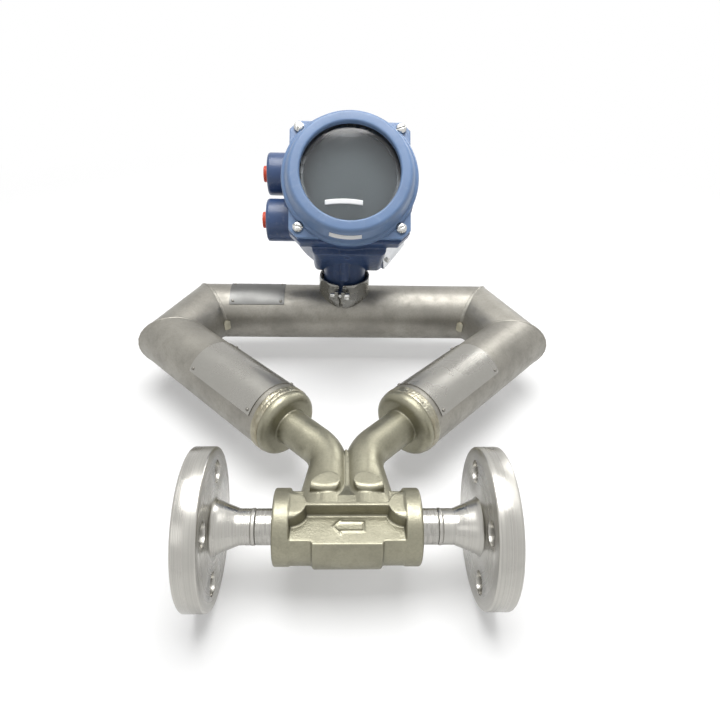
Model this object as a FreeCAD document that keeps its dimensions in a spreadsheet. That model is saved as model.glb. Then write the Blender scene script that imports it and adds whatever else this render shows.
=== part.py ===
"""Coriolis flow meter: two flow tubes in a three-sided welded casing, and a clamped transmitter head.

Row frame, in mm: the origin is the centre of the inlet flange's raised face. +X points out of
the inlet, so the flow runs towards -X. +Y points from the pipe to the back of the casing, and
+Z points up along the transmitter's stem.
"""
import FreeCAD, Part
import math
import os
import re
import Sketcher
from FreeCAD import Placement, Rotation, Vector

doc = FreeCAD.newDocument("coriolis_flow_meter")

SIZES = [
    # pipe line and flanges
    ("face_to_face", 190, "between the raised faces"),
    ("flange_od", 95, "flange outside diameter"),
    ("flange_rim", 14, "flange thickness without the raised face"),
    ("raised_od", 45, "raised face diameter"),
    ("raised_step", 2, "raised face height"),
    ("bolt_circle", 65, "bolt circle diameter"),
    ("bolt_hole", 14, "bolt hole diameter"),
    ("bolt_count", 4, "bolt holes in each flange"),
    ("hub_od", 32, "hub diameter at the flange"),
    ("hub_taper", 15, "length of the tapered hub"),
    ("pipe_od", 21.3, "neck and stub outside diameter"),
    ("pipe_bore", 17.3, "flow bore"),
    ("neck_length", 38, "raised face to the end of the neck"),
    ("flange_edge", 0.8, "chamfer of the flange rims"),
    ("pipe_weld", 2.5, "length of the weld between neck and stub"),
    ("pipe_weld_crown", 0.3, "height of that weld over the pipe"),
    # manifold casting
    ("ring_od", 45.4, "end rings of the manifold"),
    ("ring_face", 43.4, "middle of the meter to the outer face of a ring"),
    ("ring_width", 10, "width of an end ring"),
    ("body_od", 44.4, "manifold body"),
    ("leg_floor", 8, "floor behind that wall above the pipe axis"),
    ("panel_height", 11.7, "arrow panel above the pipe axis"),
    ("panel_back", 1.3, "wall behind the panel, in front of the pipe axis"),
    ("rib_width", 2.7, "thickness of that wall"),
    ("rib_height", 20.9, "top of the wall above the pipe axis"),
    ("seat_height", 21.2, "half-round seats above the pipe axis"),
    ("seat_radius", 9.4, "half-round seats beside the rings"),
    ("belly_length", 41, "raised belly under the panel"),
    ("belly_od", 48.4, "raised belly"),
    ("leg_od", 26.6, "manifold legs"),
    ("leg_spread", 12, "middle of the meter to a leg's axis"),
    ("leg_bend", 30, "bend radius of a leg"),
    ("flare_end", 50, "pipe axis to the narrow end of the flare"),
    ("flare_spread", 15.8, "middle of the meter to the flare's wide end"),
    ("flare_half", 17.9, "half width of the flare's wide end"),
    ("flare_radius", 12.6, "narrow end of the flare, just inside the leg"),
    ("split_room", 5, "leg axis to the end of the flow bore"),
    ("split_od", 18.4, "chamber between the flow bore and the passages"),
    ("web_width", 1.4, "web between the legs"),
    ("web_reach", 57, "pipe axis to the end of the web"),
    ("web_height", 8.6, "half height of the web"),
    ("web_foot", 14, "width of the web's foot"),
    ("web_foot_high", 11.6, "half height of that foot at the wall"),
    ("web_foot_low", 6.2, "half height of that foot at its end"),
    ("pad_spread", 13.6, "middle of the meter to a pad's middle"),
    ("pad_long", 10.4, "half length of the oval pad on each leg"),
    ("pad_wide", 7.8, "half width of that pad"),
    ("pad_lean", 40, "long side of a pad from the pipe axis, in degrees"),
    ("pad_front", 15.6, "pipe axis to the front of the pad"),
    ("pad_middle", 20.8, "pipe axis to the middle of the oval"),
    ("pad_bow", 24, "radius of the pad's front in plan"),
    ("pad_height", 16, "pads above the pipe axis"),
    ("pad_round", 4, "front edge of the pads"),
    ("arrow_length", 18.4, "flow arrow"),
    ("arrow_head", 5, "length of the arrow head"),
    ("arrow_wide", 11, "width of the arrow head"),
    ("arrow_shaft", 6.8, "width of the arrow shaft"),
    ("arrow_middle", 9.3, "pipe axis to the middle of the arrow"),
    ("arrow_shift", 0.6, "middle of the meter to the middle of the arrow"),
    ("arrow_line", 0.6, "width of the raised outline"),
    ("arrow_raise", 0.4, "height of the raised outline"),
    # casing
    ("case_od", 50.8, "casing tubes"),
    ("case_wall", 2, "wall of the casing tubes"),
    ("back_y", 252.5, "pipe axis to the back tube's axis"),
    ("back_half", 126.2, "middle of the meter to the first mitre"),
    ("wedge_length", 59.7, "axis length of a corner wedge"),
    ("arm_angle", 45, "between an arm and the back tube"),
    ("cap_end", 57, "arm's foot to the flat end of the cap"),
    ("cap_round", 6, "rounding of the cap's end"),
    ("cap_wall", 3.5, "wall of the cap"),
    ("cap_floor", 7, "floor of the cap"),
    ("cap_rim", 64.5, "arm's foot to the rim of the cap"),
    ("cap_weld", 6.5, "width of the weld between cap and arm"),
    ("cap_weld_crown", 0.7, "height of that weld"),
    ("mitre_weld", 2.6, "width of the mitre welds"),
    ("mitre_crown", 0.45, "height of the mitre welds"),
    ("purge_width", 6, "purge plug in each inner corner"),
    ("purge_height", 9, "purge plug in each inner corner"),
    ("purge_rise", 2, "purge plug over the welds"),
    ("purge_round", 1.5, "edges of a purge plug"),
    ("plate_sheet", 0.6, "thickness of the name plates"),
    ("plate_play", 0.1, "name plates over the steel under them"),
    ("name_plate_length", 50.5, "plate on the back tube"),
    ("name_plate_end", 106, "middle of the meter to that plate's outer end"),
    ("name_plate_arc", 66, "plate on the back tube, in degrees"),
    ("tag_near", 75.5, "arm's foot to the near end of the arm plates"),
    ("tag_length", 75, "arm plates"),
    ("tag_arc", 122, "arm plates, in degrees"),
    ("rivet_head", 2.6, "rivet head diameter"),
    ("rivet_height", 0.8, "rivet head height"),
    ("rivet_inset", 3.2, "rivet to the plate's edge"),
    # flow tubes and what they carry
    ("flow_od", 8, "flow tubes"),
    ("flow_wall", 0.8, "wall of the flow tubes"),
    ("flow_pitch", 16, "between the axes of the two flow tubes"),
    ("flow_bend", 43, "bend radius of the flow tubes"),
    ("brace_sheet", 2.5, "thickness of the brace bars"),
    ("brace_width", 16, "width of the brace bars"),
    ("brace_height", 30, "height of the brace bars"),
    ("brace_gap", 14, "cap floor to the brace bar"),
    ("pickoff_run", 110, "cap end to a pickoff, along the arm"),
    ("coil_room", 11.4, "bore radius of the casing, less a coil's diameter"),
    ("coil_height", 7, "coils"),
    ("coil_bore", 8, "coil bore"),
    ("magnet_od", 6.4, "magnets"),
    ("coil_inset", 10.4, "bore of the casing to the coil axis"),
    ("carrier_sheet", 1.5, "thickness of coil and magnet carriers"),
    ("carrier_width", 12, "width of the carriers along the tube"),
    ("sensor_length", 10, "temperature sensor"),
    ("sensor_width", 4, "temperature sensor"),
    ("sensor_offset", 34, "back tube: middle to the temperature sensor"),
    # feedthrough and clamp
    ("boss_od", 36, "feedthrough boss"),
    ("joint_rise", 4.6, "top of the back tube to the joint with the head"),
    ("joint_od", 42, "clamped flanges"),
    ("joint_lip", 3, "thickness of each clamped flange"),
    ("boss_bore", 24, "bore of the boss"),
    ("header_sheet", 4, "glass header"),
    ("pin_count", 9, "header pins"),
    ("pin_od", 1.2, "header pins"),
    ("pin_length", 12, "header pins"),
    ("pin_circle", 15, "circle of the header pins"),
    ("joint_seal_od", 31, "joint seal"),
    ("joint_seal_section", 2, "joint seal"),
    ("clamp_od", 47, "clamp ring"),
    ("clamp_drop", 15, "joint to the lower edge of the clamp ring"),
    ("clamp_rise", 10, "joint to the upper edge of the clamp ring"),
    ("clamp_taper", 3, "lower edge of the clamp ring, drawn in"),
    ("clamp_flat", 22.8, "clamp axis to each of its eight flats"),
    ("clamp_turn", 16, "direction of the flats' corners, in degrees"),
    ("clamp_notch", 4, "side of the V cut over the split"),
    ("clamp_wall", 1.6, "clamp ring around the flanges"),
    ("clamp_play", 0.3, "clearance of the clamp on the head"),
    ("clamp_split", 3, "gap between the clamp's ears"),
    ("ear_reach", 6.5, "ears of the clamp"),
    ("ear_sheet", 3, "ears of the clamp"),
    ("ear_height", 10, "ears of the clamp"),
    ("ear_rise", 2, "joint to the middle of the clamp's ears"),
    ("ear_angle", 261, "direction of the ears around the stem, in degrees"),
    ("clamp_bolt", 4, "clamp screw"),
    ("clamp_bolt_head", 7, "head of the clamp screw"),
    ("clamp_bolt_rise", 4, "height of the screw's head"),
    # transmitter head
    ("head_tilt", 40, "face of the head, leaning back from upright"),
    ("head_cross", 122.6, "pipe axis to the crossing of stem and head axes"),
    ("head_seat", 14.5, "that crossing to the cover's seat"),
    ("head_offset", 3, "head axis beside the stem axis"),
    ("rim_od", 112, "cover rim"),
    ("rim_height", 8, "cover seat to the top of the rim"),
    ("ear_plate", 4.5, "thickness of the cover's four ears"),
    ("cover_top_od", 98, "flat front of the cover"),
    ("cover_side_od", 107, "foot of the cover's sloping side"),
    ("cover_height", 20.5, "cover seat to the front of the cover"),
    ("cover_shoulder", 17.5, "cover seat to the top of the sloping side"),
    ("window_od", 80.5, "opening of the cover"),
    ("window_lip", 5.5, "depth of the opening to the gasket"),
    ("glass_od", 88, "window glass"),
    ("glass_sheet", 8, "window glass"),
    ("gasket_sheet", 1, "gasket under the glass"),
    ("retainer_height", 3, "retaining ring"),
    ("retainer_bore", 76, "retaining ring"),
    ("spigot_od", 93, "spigot of the cover in the housing"),
    ("spigot_depth", 6, "spigot"),
    ("cover_seal_od", 105, "cover seal"),
    ("cover_seal_section", 2, "cover seal"),
    ("screw_square", 83.6, "between the cover screws"),
    ("screw_head", 8.4, "cover screw head"),
    ("screw_rise", 3.4, "cover screw head"),
    ("screw_shank", 4.8, "cover screw shank"),
    ("screw_length", 15, "cover screw under the head"),
    ("screw_slot", 1.2, "driver slot"),
    ("lug_width", 99, "across the four lugs"),
    ("lug_high", 47.5, "head axis to the top of the lugs"),
    ("lug_low", 53.2, "head axis to the bottom of the lugs"),
    ("ear_low", 50.4, "head axis to the bottom of the cover's ears"),
    ("lug_corner", 9, "chamfer of the lugs"),
    ("ear_corner", 7, "chamfer of the cover's ears"),
    ("lug_depth", 12.5, "thickness of the lugs"),
    ("can_od", 110, "housing can"),
    ("can_depth", 78, "cover seat to the back of the can"),
    ("can_drop", 5, "lower half of the can below its upper half"),
    ("can_round", 9, "rounding of the can's back"),
    ("cavity_depth", 70, "depth of the cavity"),
    ("cavity_od", 93.6, "cavity"),
    ("block_width", 62, "square block under the can"),
    ("block_reach", 60, "head axis to the underside of the block"),
    ("block_depth", 70, "cover seat to the back of the block"),
    ("block_round", 5, "edges of the block"),
    ("dimple_od", 5, "dimple under the block"),
    ("dimple_depth", 2, "dimple under the block"),
    ("neck_od", 37.6, "neck of the head"),
    ("neck_bore", 22, "wire bore of the neck"),
    ("rib_boss", 9, "rounded rib on the neck"),
    ("rib_length", 26, "rounded rib on the neck"),
    ("rib_start", 14, "joint plane to the foot of that rib"),
    ("port_od", 36, "conduit bosses"),
    ("port_bore", 20, "conduit thread bore"),
    ("port_reach", 70.2, "head axis to the face of a conduit boss"),
    ("port_pitch", 41, "between the conduit bosses"),
    ("port_lower", 24.8, "head axis to the lower conduit boss"),
    ("port_depth", 30, "cover seat to the conduit bosses"),
    ("port_edge", 2.5, "edge of the conduit bosses"),
    ("plug_head", 13.8, "conduit plug head"),
    ("plug_rise", 3.9, "conduit plug head"),
    ("plug_play", 0.15, "conduit plug in the bore"),
    ("plug_depth", 12, "conduit plug in the bore"),
    ("plug_sunk", 1, "conduit plug's shoulder inside the face"),
    # electronics
    ("board_od", 82, "circuit boards"),
    ("board_sheet", 1.6, "circuit boards"),
    ("post_od", 6, "posts between the boards"),
    ("post_circle", 68, "circle of the posts"),
    ("post_count", 4, "posts"),
    ("power_height", 24, "cavity floor to the power board"),
    ("processor_height", 44, "cavity floor to the processor board"),
    ("display_height", 58, "cavity floor to the display module"),
    ("display_sheet", 9, "display module"),
    ("display_od", 84, "display module"),
    ("terminal_length", 50, "terminal block"),
    ("terminal_width", 16, "terminal block"),
    ("terminal_height", 14, "terminal block"),
    ("terminal_count", 8, "terminal screws"),
    ("terminal_screw", 3.6, "terminal screws"),
    ("ground_head", 7, "ground screw head"),
    ("ground_rise", 2.5, "ground screw head"),
    ("head_tag_sheet", 0.8, "tag on the can"),
    ("head_tag_angle", 38.6, "direction of the tag's flat around the can, in degrees"),
    ("head_tag_lean", 9, "tag's flat, leaning to the cover, in degrees"),
    ("head_tag_reach", 59.9, "can axis to the back end of the tag"),
    ("head_tag_back", 65, "cover seat to the back end of the tag"),
    ("head_tag_low", 21, "lower end of the tag along its flat"),
    ("head_tag_width", 30, "tag on the can"),
    ("head_tag_height", 46, "tag on the can"),
    ("tag_shank", 2.4, "tag screw under the head"),
    ("tag_shank_length", 7, "tag screw under the head"),
    ("tag_screw_low", 16.2, "tag screw along the flat"),
    ("tag_screw_back", 15.7, "back end of the tag to its screw"),
]

PLACES = [
    ("mid_x", "-Sizes.face_to_face / 2", "middle of the meter"),
    ("head_x", "mid_x + Sizes.head_offset", "head axis"),
    ("neck_end", "Sizes.face_to_face / 2 - Sizes.neck_length", "middle to the end of a flange neck"),
    ("stub_end", "neck_end - Sizes.pipe_weld", "middle to the end of the manifold stub"),
    ("ring_inner", "Sizes.ring_face - Sizes.ring_width", "middle to the inner face of a ring"),
    ("mitre_turn", "(180 - Sizes.arm_angle) / 2", "turn at each mitre, in degrees"),
    ("outer_x", "Sizes.back_half + Sizes.wedge_length * cos(mitre_turn * 1 deg)", "middle to the second mitre"),
    ("outer_y", "Sizes.back_y - Sizes.wedge_length * sin(mitre_turn * 1 deg)", "pipe axis to the second mitre"),
    ("foot_y", "outer_y - outer_x * tan(Sizes.arm_angle * 1 deg)", "where the arm axes meet"),
    ("leg_turn", "90 - Sizes.arm_angle", "bend of a leg, in degrees"),
    ("leg_tangent", "Sizes.leg_bend * tan(leg_turn / 2 * 1 deg)", "bend start to the corner of a leg"),
    ("leg_corner_y", "foot_y + Sizes.leg_spread * tan(Sizes.arm_angle * 1 deg)", "corner of a leg"),
    ("leg_straight", "leg_corner_y - leg_tangent", "straight part of a leg"),
    ("leg_second", "Sizes.leg_spread / cos(Sizes.arm_angle * 1 deg) + leg_tangent", "arm foot to the bend's end"),
    ("leg_root", "(Sizes.rib_width / 2 - Sizes.panel_back)", "middle of the wall, where the legs start"),
    ("arm_start", "Sizes.cap_rim + Sizes.cap_weld", "arm foot to the arm tube"),
    ("case_bore", "Sizes.case_od - 2 * Sizes.case_wall", "inside of the casing tubes"),
    ("coil_od", "case_bore / 2 - Sizes.coil_room", "coils"),
    ("coil_reach", "case_bore / 2 - Sizes.coil_inset", "flow tube axis to the coil axis"),
    ("joint_height", "Sizes.case_od / 2 + Sizes.joint_rise", "back tube axis to the joint with the head"),
    ("cap_inner", "Sizes.cap_end + Sizes.cap_floor", "arm foot to the cap's floor"),
    ("board_floor", "-Sizes.cavity_depth", "floor of the housing cavity"),
]


def fill(sheet, rows, start=""):
    """Write one row for each size: its name, its value under that alias, and what it is."""
    for row, (alias, content, meaning) in enumerate(rows, 1):
        sheet.set(f"A{row}", alias)
        sheet.set(f"B{row}", start + str(content))
        sheet.setAlias(f"B{row}", alias)
        sheet.set(f"C{row}", meaning)
    doc.recompute()


sizes = doc.addObject("Spreadsheet::Sheet", "Sizes")
fill(sizes, SIZES)
places = doc.addObject("Spreadsheet::Sheet", "Places")
fill(places, PLACES, "=")

OWNER = {alias: "Places" for alias, content, meaning in PLACES}
OWNER.update({alias: "Sizes" for alias, content, meaning in SIZES})
nodes = []


def formula(text):
    """Name the sheet of each size in a formula."""
    return re.sub(r"[a-z][a-z_]+[a-z]", lambda word: f"{OWNER[word[0]]}.{word[0]}" if word[0] in OWNER else word[0],
                  str(text))


def value(text):
    """The number that a formula gives now."""
    return float(sizes.evalExpression(formula(text)))


def bind(thing, **formulas):
    """Tie properties of an object to the sheets."""
    for name, text in formulas.items():
        thing.setExpression(name, formula(text))


def put(thing, x=0, y=0, z=0, turn=Rotation()):
    """Set an object's place, with its position tied to the sheets."""
    thing.Placement = Placement(Vector(value(x), value(y), value(z)), turn)
    for axis, text in zip("xyz", (x, y, z)):
        thing.setExpression(f"Placement.Base.{axis}", formula(text))
    return thing


def along(direction):
    """The rotation that lays a shape's own Z along a direction."""
    return Rotation(Vector(0, 0, 1), Vector(*direction))


def cylinder(name, radius, height, x=0, y=0, z=0, turn=Rotation(), angle=360):
    solid = doc.addObject("Part::Cylinder", name)
    bind(solid, Radius=radius, Height=height, Angle=angle)
    return put(solid, x, y, z, turn)


def box(name, length, width, height, x=0, y=0, z=0, turn=Rotation()):
    """A box with its corner at the place given."""
    solid = doc.addObject("Part::Box", name)
    bind(solid, Length=length, Width=width, Height=height)
    return put(solid, x, y, z, turn)


def cut(name, base, tool):
    result = doc.addObject("Part::Cut", name)
    result.Base = base
    result.Tool = tool
    return result


def fuse(name, *shapes):
    result = doc.addObject("Part::MultiFuse", name)
    result.Shapes = list(shapes)
    return result


def common(name, *shapes):
    result = doc.addObject("Part::MultiCommon", name)
    result.Shapes = list(shapes)
    return result


def group(name, *shapes):
    result = doc.addObject("Part::Compound", name)
    result.Links = list(shapes)
    return result


def node(label, thing):
    """Name a finished sub-part."""
    thing.Label = label
    nodes.append(thing)
    return thing


def plane_of(body, role):
    return next(f for f in body.Origin.OriginFeatures if f.Role == role)


def outline(body, name, role, loops):
    """A sketch of closed outlines whose corners are all tied to the sheets."""
    sketch = body.newObject("Sketcher::SketchObject", name)
    sketch.AttachmentSupport = (plane_of(body, role), [""])
    sketch.MapMode = "FlatFace"
    for points in loops:
        spots = [Vector(value(x), value(y), 0) for x, y in points]
        first = sketch.GeometryCount
        for index, spot in enumerate(spots):
            sketch.addGeometry(Part.LineSegment(spot, spots[(index + 1) % len(spots)]), False)
        count = len(spots)
        for index, (x, y) in enumerate(points):
            here = first + index
            sketch.addConstraint(Sketcher.Constraint("Coincident", here, 2, first + (index + 1) % count, 1))
            for kind, text in (("DistanceX", x), ("DistanceY", y)):
                number = sketch.addConstraint(Sketcher.Constraint(kind, -1, 1, here, 1, value(text)))
                sketch.setExpression(f"Constraints[{number}]", formula(text))
    return sketch


def turned(name, *loops):
    """A body turned about its own Z from outlines of (radius, height)."""
    body = doc.addObject("PartDesign::Body", name)
    sketch = outline(body, name + "_profile", "XZ_Plane", loops)
    turn = body.newObject("PartDesign::Revolution", name + "_turn")
    turn.Profile = sketch
    turn.ReferenceAxis = (sketch, ["V_Axis"])
    turn.Angle = 360
    return body


def padded(name, height, *loops):
    """A body raised along its own Z from flat outlines."""
    body = doc.addObject("PartDesign::Body", name)
    sketch = outline(body, name + "_outline", "XY_Plane", loops)
    pad = body.newObject("PartDesign::Pad", name + "_pad")
    pad.Profile = sketch
    bind(pad, Length=height)
    return body


def ring_profile(outer, inner, low, high):
    """The section of a plain ring, from diameters and heights."""
    return [(f"({inner}) / 2", low), (f"({outer}) / 2", low), (f"({outer}) / 2", high), (f"({inner}) / 2", high)]


def rounded(name, base, radius, chooses):
    """Round the edges that a test on their middle points picks."""
    doc.recompute()
    edges = []
    for index, edge in enumerate(base.Shape.Edges, 1):
        middle = edge.valueAt((edge.FirstParameter + edge.LastParameter) / 2)
        if chooses(edge, middle):
            edges.append((index, value(radius), value(radius)))
    result = doc.addObject("Part::Fillet", name)
    result.Base = base
    result.Edges = edges
    return result


SIDES = (("inlet", "right", 1), ("outlet", "left", -1))

def flange(end, side):
    """Weld-neck flange with a raised face, drawn along Z from its raised face back to its neck."""
    body = turned(f"{end}_flange_body", [
        ("pipe_bore / 2", "0"),
        ("raised_od / 2", "0"),
        ("raised_od / 2", "raised_step"),
        ("flange_od / 2 - flange_edge", "raised_step"),
        ("flange_od / 2", "raised_step + flange_edge"),
        ("flange_od / 2", "raised_step + flange_rim - flange_edge"),
        ("flange_od / 2 - flange_edge", "raised_step + flange_rim"),
        ("hub_od / 2 + 2 * flange_edge", "raised_step + flange_rim"),
        ("hub_od / 2", "raised_step + flange_rim + 2 * flange_edge"),
        ("pipe_od / 2", "raised_step + flange_rim + hub_taper"),
        ("pipe_od / 2", "neck_length"),
        ("pipe_bore / 2", "neck_length"),
    ])
    sketch = body.newObject("Sketcher::SketchObject", f"{end}_bolt_hole")
    sketch.AttachmentSupport = (plane_of(body, "XY_Plane"), [""])
    sketch.MapMode = "FlatFace"
    spot = value("bolt_circle") / 2 * math.cos(math.pi / 4)
    sketch.addGeometry(Part.Circle(Vector(spot, spot, 0), Vector(0, 0, 1), value("bolt_hole") / 2), False)
    for kind in ("DistanceX", "DistanceY"):
        number = sketch.addConstraint(Sketcher.Constraint(kind, -1, 1, 0, 3, spot))
        sketch.setExpression(f"Constraints[{number}]", formula("bolt_circle / 2 * cos(45 deg)"))
    number = sketch.addConstraint(Sketcher.Constraint("Radius", 0, value("bolt_hole") / 2))
    sketch.setExpression(f"Constraints[{number}]", formula("bolt_hole / 2"))
    pocket = body.newObject("PartDesign::Pocket", f"{end}_bolt_pocket")
    pocket.Profile = sketch
    pocket.Type = "ThroughAll"
    pocket.Midplane = True
    pattern = body.newObject("PartDesign::PolarPattern", f"{end}_bolt_pattern")
    pattern.Originals = [pocket]
    pattern.Axis = (sketch, ["N_Axis"])
    pattern.Angle = 360
    bind(pattern, Occurrences="bolt_count")
    body.Tip = pattern
    put(body, f"mid_x + {side} * face_to_face / 2", turn=along((-side, 0, 0)))
    node(f"{end}_flange", body)
    weld = turned(f"{end}_weld_body", [
        ("pipe_bore / 2", "0"),
        ("pipe_od / 2", "0"),
        ("pipe_od / 2 + pipe_weld_crown", "pipe_weld / 4"),
        ("pipe_od / 2 + pipe_weld_crown", "3 * pipe_weld / 4"),
        ("pipe_od / 2", "pipe_weld"),
        ("pipe_bore / 2", "pipe_weld"),
    ])
    put(weld, f"mid_x + {side} * stub_end", turn=along((side, 0, 0)))
    node(f"{end}_neck_weld", weld)


def arm_at(distance, side, z="0"):
    """A point on an arm's axis, as formulas, at a distance from the arm's foot."""
    return (f"mid_x + {side} * ({distance}) * cos(arm_angle * 1 deg)",
            f"foot_y + ({distance}) * sin(arm_angle * 1 deg)", z)


def arm_turn(side):
    """Rotation that lays Z outwards along an arm and keeps X on its inner side and Y up or down."""
    angle = math.radians(value("arm_angle"))
    out = Vector(side * math.cos(angle), math.sin(angle), 0)
    inner = Vector(-side * math.sin(angle), math.cos(angle), 0)
    return Rotation(inner, out.cross(inner), out, "ZXY")


def leg_run(name, radius, side, z, start, end):
    """A round bar along one leg's axis: straight, bend, then along the arm."""
    spin = Rotation(Vector(0, 0, 1), 30)
    first = cylinder(name + "_root", radius, f"leg_straight - ({start})", f"mid_x + {side} * leg_spread", start, z,
                     along((0, 1, 0)).multiply(spin))
    bend = doc.addObject("Part::Torus", name + "_bend")
    bind(bend, Radius1="leg_bend", Radius2=radius, Angle3="leg_turn")
    start_turn = Rotation(Vector(0, 0, 1), 180 - value("leg_turn")) if side > 0 else Rotation()
    put(bend, f"mid_x + {side} * (leg_spread + leg_bend)", "leg_straight", z, start_turn)
    x, y, height = arm_at("leg_second", side, z)
    last = cylinder(name + "_reach", radius, f"{end} - leg_second", x, y, height, arm_turn(side).multiply(spin))
    return fuse(name, first, bend, last)


def leg_flare(side):
    """The foot of a leg, drawn out sideways towards the ring."""
    foot = doc.addObject("Part::Ellipse", f"flare_foot_{side}")
    bind(foot, MajorRadius="flare_half", MinorRadius="flare_radius")
    put(foot, f"mid_x + {side} * flare_spread", "leg_root", 0, along((0, 1, 0)))
    end = doc.addObject("Part::Circle", f"flare_end_{side}")
    bind(end, Radius="flare_radius")
    put(end, f"mid_x + {side} * leg_spread", "flare_end", 0, along((0, 1, 0)))
    flare = doc.addObject("Part::Loft", f"manifold_flare_{side}")
    flare.Sections = [foot, end]
    flare.Solid = True
    return flare


def manifold():
    """Cast manifold: end rings, body with the arrow panel, two legs and the casing's end caps."""
    east = along((1, 0, 0))
    parts = [
        cylinder("manifold_body", "body_od / 2", "2 * ring_inner", "mid_x - ring_inner", turn=east),
        cylinder("manifold_stub", "pipe_od / 2", "2 * stub_end", "mid_x - stub_end", turn=east),
    ]
    for side in (1, -1):
        ring = cylinder(f"manifold_ring_{side}", "ring_od / 2", "ring_width", f"mid_x + {side} * ring_inner",
                        turn=along((side, 0, 0)))
        parts.append(rounded(f"manifold_ring_{side}_edge", ring, "1.2", lambda edge, middle: len(edge.Vertexes) == 1))
    belly = cylinder("manifold_belly", "belly_od / 2", "belly_length", "mid_x - belly_length / 2", turn=east)
    belly = rounded("manifold_belly_edge", belly, "1.4", lambda edge, middle: len(edge.Vertexes) == 1)
    keep = box("manifold_belly_keep", "belly_length", "belly_od / 2 + 4", "belly_od / 2 + panel_height",
               "mid_x - belly_length / 2", "-belly_od / 2", "-belly_od / 2")
    parts.append(common("manifold_belly_front", belly, keep))
    body = fuse("manifold_barrel", *parts)

    span = "2 * ring_inner"
    front = box("manifold_panel_room", span, "body_od", "body_od", "mid_x - ring_inner", "-panel_back - body_od",
                "panel_height")
    back = box("manifold_leg_room", span, "body_od", "body_od", "mid_x - ring_inner", "rib_width - panel_back",
               "leg_floor")
    top = box("manifold_rib_room", span, "body_od", "body_od", "mid_x - ring_inner", "-body_od / 2", "rib_height")
    seats = []
    for side in (1, -1):
        seats.append(cylinder(f"manifold_seat_{side}", "seat_radius", "body_od", f"mid_x + {side} * ring_inner",
                              0, "0"))
    room = cut("manifold_room", fuse("manifold_rooms", front, back, top), fuse("manifold_seats", *seats))
    trim = box("manifold_seat_trim", span, "body_od", "body_od", "mid_x - ring_inner", "-body_od / 2", "seat_height")
    body = cut("manifold_cast", cut("manifold_open", body, room), trim)

    rib = box("manifold_rib", span, "rib_width", "rib_height", "mid_x - ring_inner", "-panel_back", "0")
    solids = [body, rib]
    for side in (1, -1):
        solids.append(leg_run(f"manifold_leg_{side}", "leg_od / 2", side, "0", "leg_root", "cap_end + 1"))
        solids.append(leg_flare(side))
        x, y, z = arm_at("cap_end", side)
        cap = cylinder(f"manifold_cap_{side}", "case_od / 2", "cap_rim - cap_end", x, y, z, arm_turn(side))
        foot = value("cap_end")
        mid_x = value("mid_x")

        def at_foot(edge, middle, side=side, foot=foot, mid_x=mid_x):
            angle = math.radians(value("arm_angle"))
            run = side * (middle.x - mid_x) * math.cos(angle) + (middle.y - value("foot_y")) * math.sin(angle)
            return abs(run - foot) < 0.01 and len(edge.Vertexes) == 1

        solids.append(rounded(f"manifold_cap_{side}_round", cap, "min(cap_round; cap_rim - cap_end - 0.2)", at_foot))
        pad_side = f"mid_x + {side} * pad_spread"
        oval = doc.addObject("Part::Ellipse", f"manifold_pad_oval_{side}")
        bind(oval, MajorRadius="pad_long", MinorRadius="pad_wide")
        put(oval, pad_side, "pad_middle", "leg_od / 4", Rotation(Vector(0, 0, 1), -side * value("pad_lean")))
        block = doc.addObject("Part::Extrusion", f"manifold_pad_block_{side}")
        block.Base = oval
        block.DirMode = "Custom"
        block.Dir = Vector(0, 0, 1)
        block.Solid = True
        bind(block, LengthFwd="pad_height - leg_od / 4")
        pad = common(f"manifold_pad_{side}", block,
                     cylinder(f"manifold_pad_bow_{side}", "pad_bow", "pad_height - leg_od / 4", pad_side,
                              "pad_front + pad_bow", "leg_od / 4"))
        top, edge_y = value("pad_height"), value("pad_middle")
        solids.append(rounded(f"manifold_pad_nose_{side}", pad, "pad_round",
                              lambda edge, middle: abs(middle.z - top) < 0.01 and middle.y < edge_y - 3))
    solids.append(box("manifold_web", "web_width", "web_reach", "2 * web_height", "mid_x - web_width / 2", "0",
                      "-web_height"))
    ramp = [("leg_root", "web_foot_high"), ("web_reach / 4", "web_foot_high"),
            ("web_reach / 3", "(2 * web_foot_high + web_foot_low) / 3"),
            ("web_reach / 2", "(web_foot_high + 3 * web_foot_low) / 4"), ("web_reach * 2 / 3", "web_foot_low")]
    foot_block = padded("manifold_web_foot", "web_foot", ramp + [(run, f"-({high})") for run, high in ramp[::-1]])
    solids.append(put(foot_block, "mid_x - web_foot / 2",
                      turn=Rotation(Vector(0, 1, 0), Vector(0, 0, 1), Vector(1, 0, 0), "ZXY")))
    solids.append(put(arrow(), "mid_x + arrow_shift", "-arrow_middle", "panel_height - 0.2"))

    hollows = []
    for side in (1, -1):
        hollows.append(cylinder(f"manifold_bore_{side}", "pipe_bore / 2", "stub_end - leg_spread - split_room",
                                f"mid_x + {side} * stub_end", turn=along((-side, 0, 0))))
        hollows.append(cylinder(f"manifold_split_{side}", "split_od / 2", "split_room + flow_od / 2",
                                f"mid_x + {side} * (leg_spread + split_room)", turn=along((-side, 0, 0))))
        for level in (1, -1):
            hollows.append(leg_run(f"manifold_passage_{side}_{level}", "flow_od / 2 - flow_wall", side,
                                   f"{level} * flow_pitch / 2", "0", "cap_inner + 1"))
        x, y, z = arm_at("cap_inner", side)
        hollows.append(cylinder(f"manifold_cup_{side}", "case_od / 2 - cap_wall", "cap_rim", x, y, z, arm_turn(side)))
    node("manifold", cut("manifold_casting", fuse("manifold_solid", *solids), fuse("manifold_hollows", *hollows)))


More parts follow.
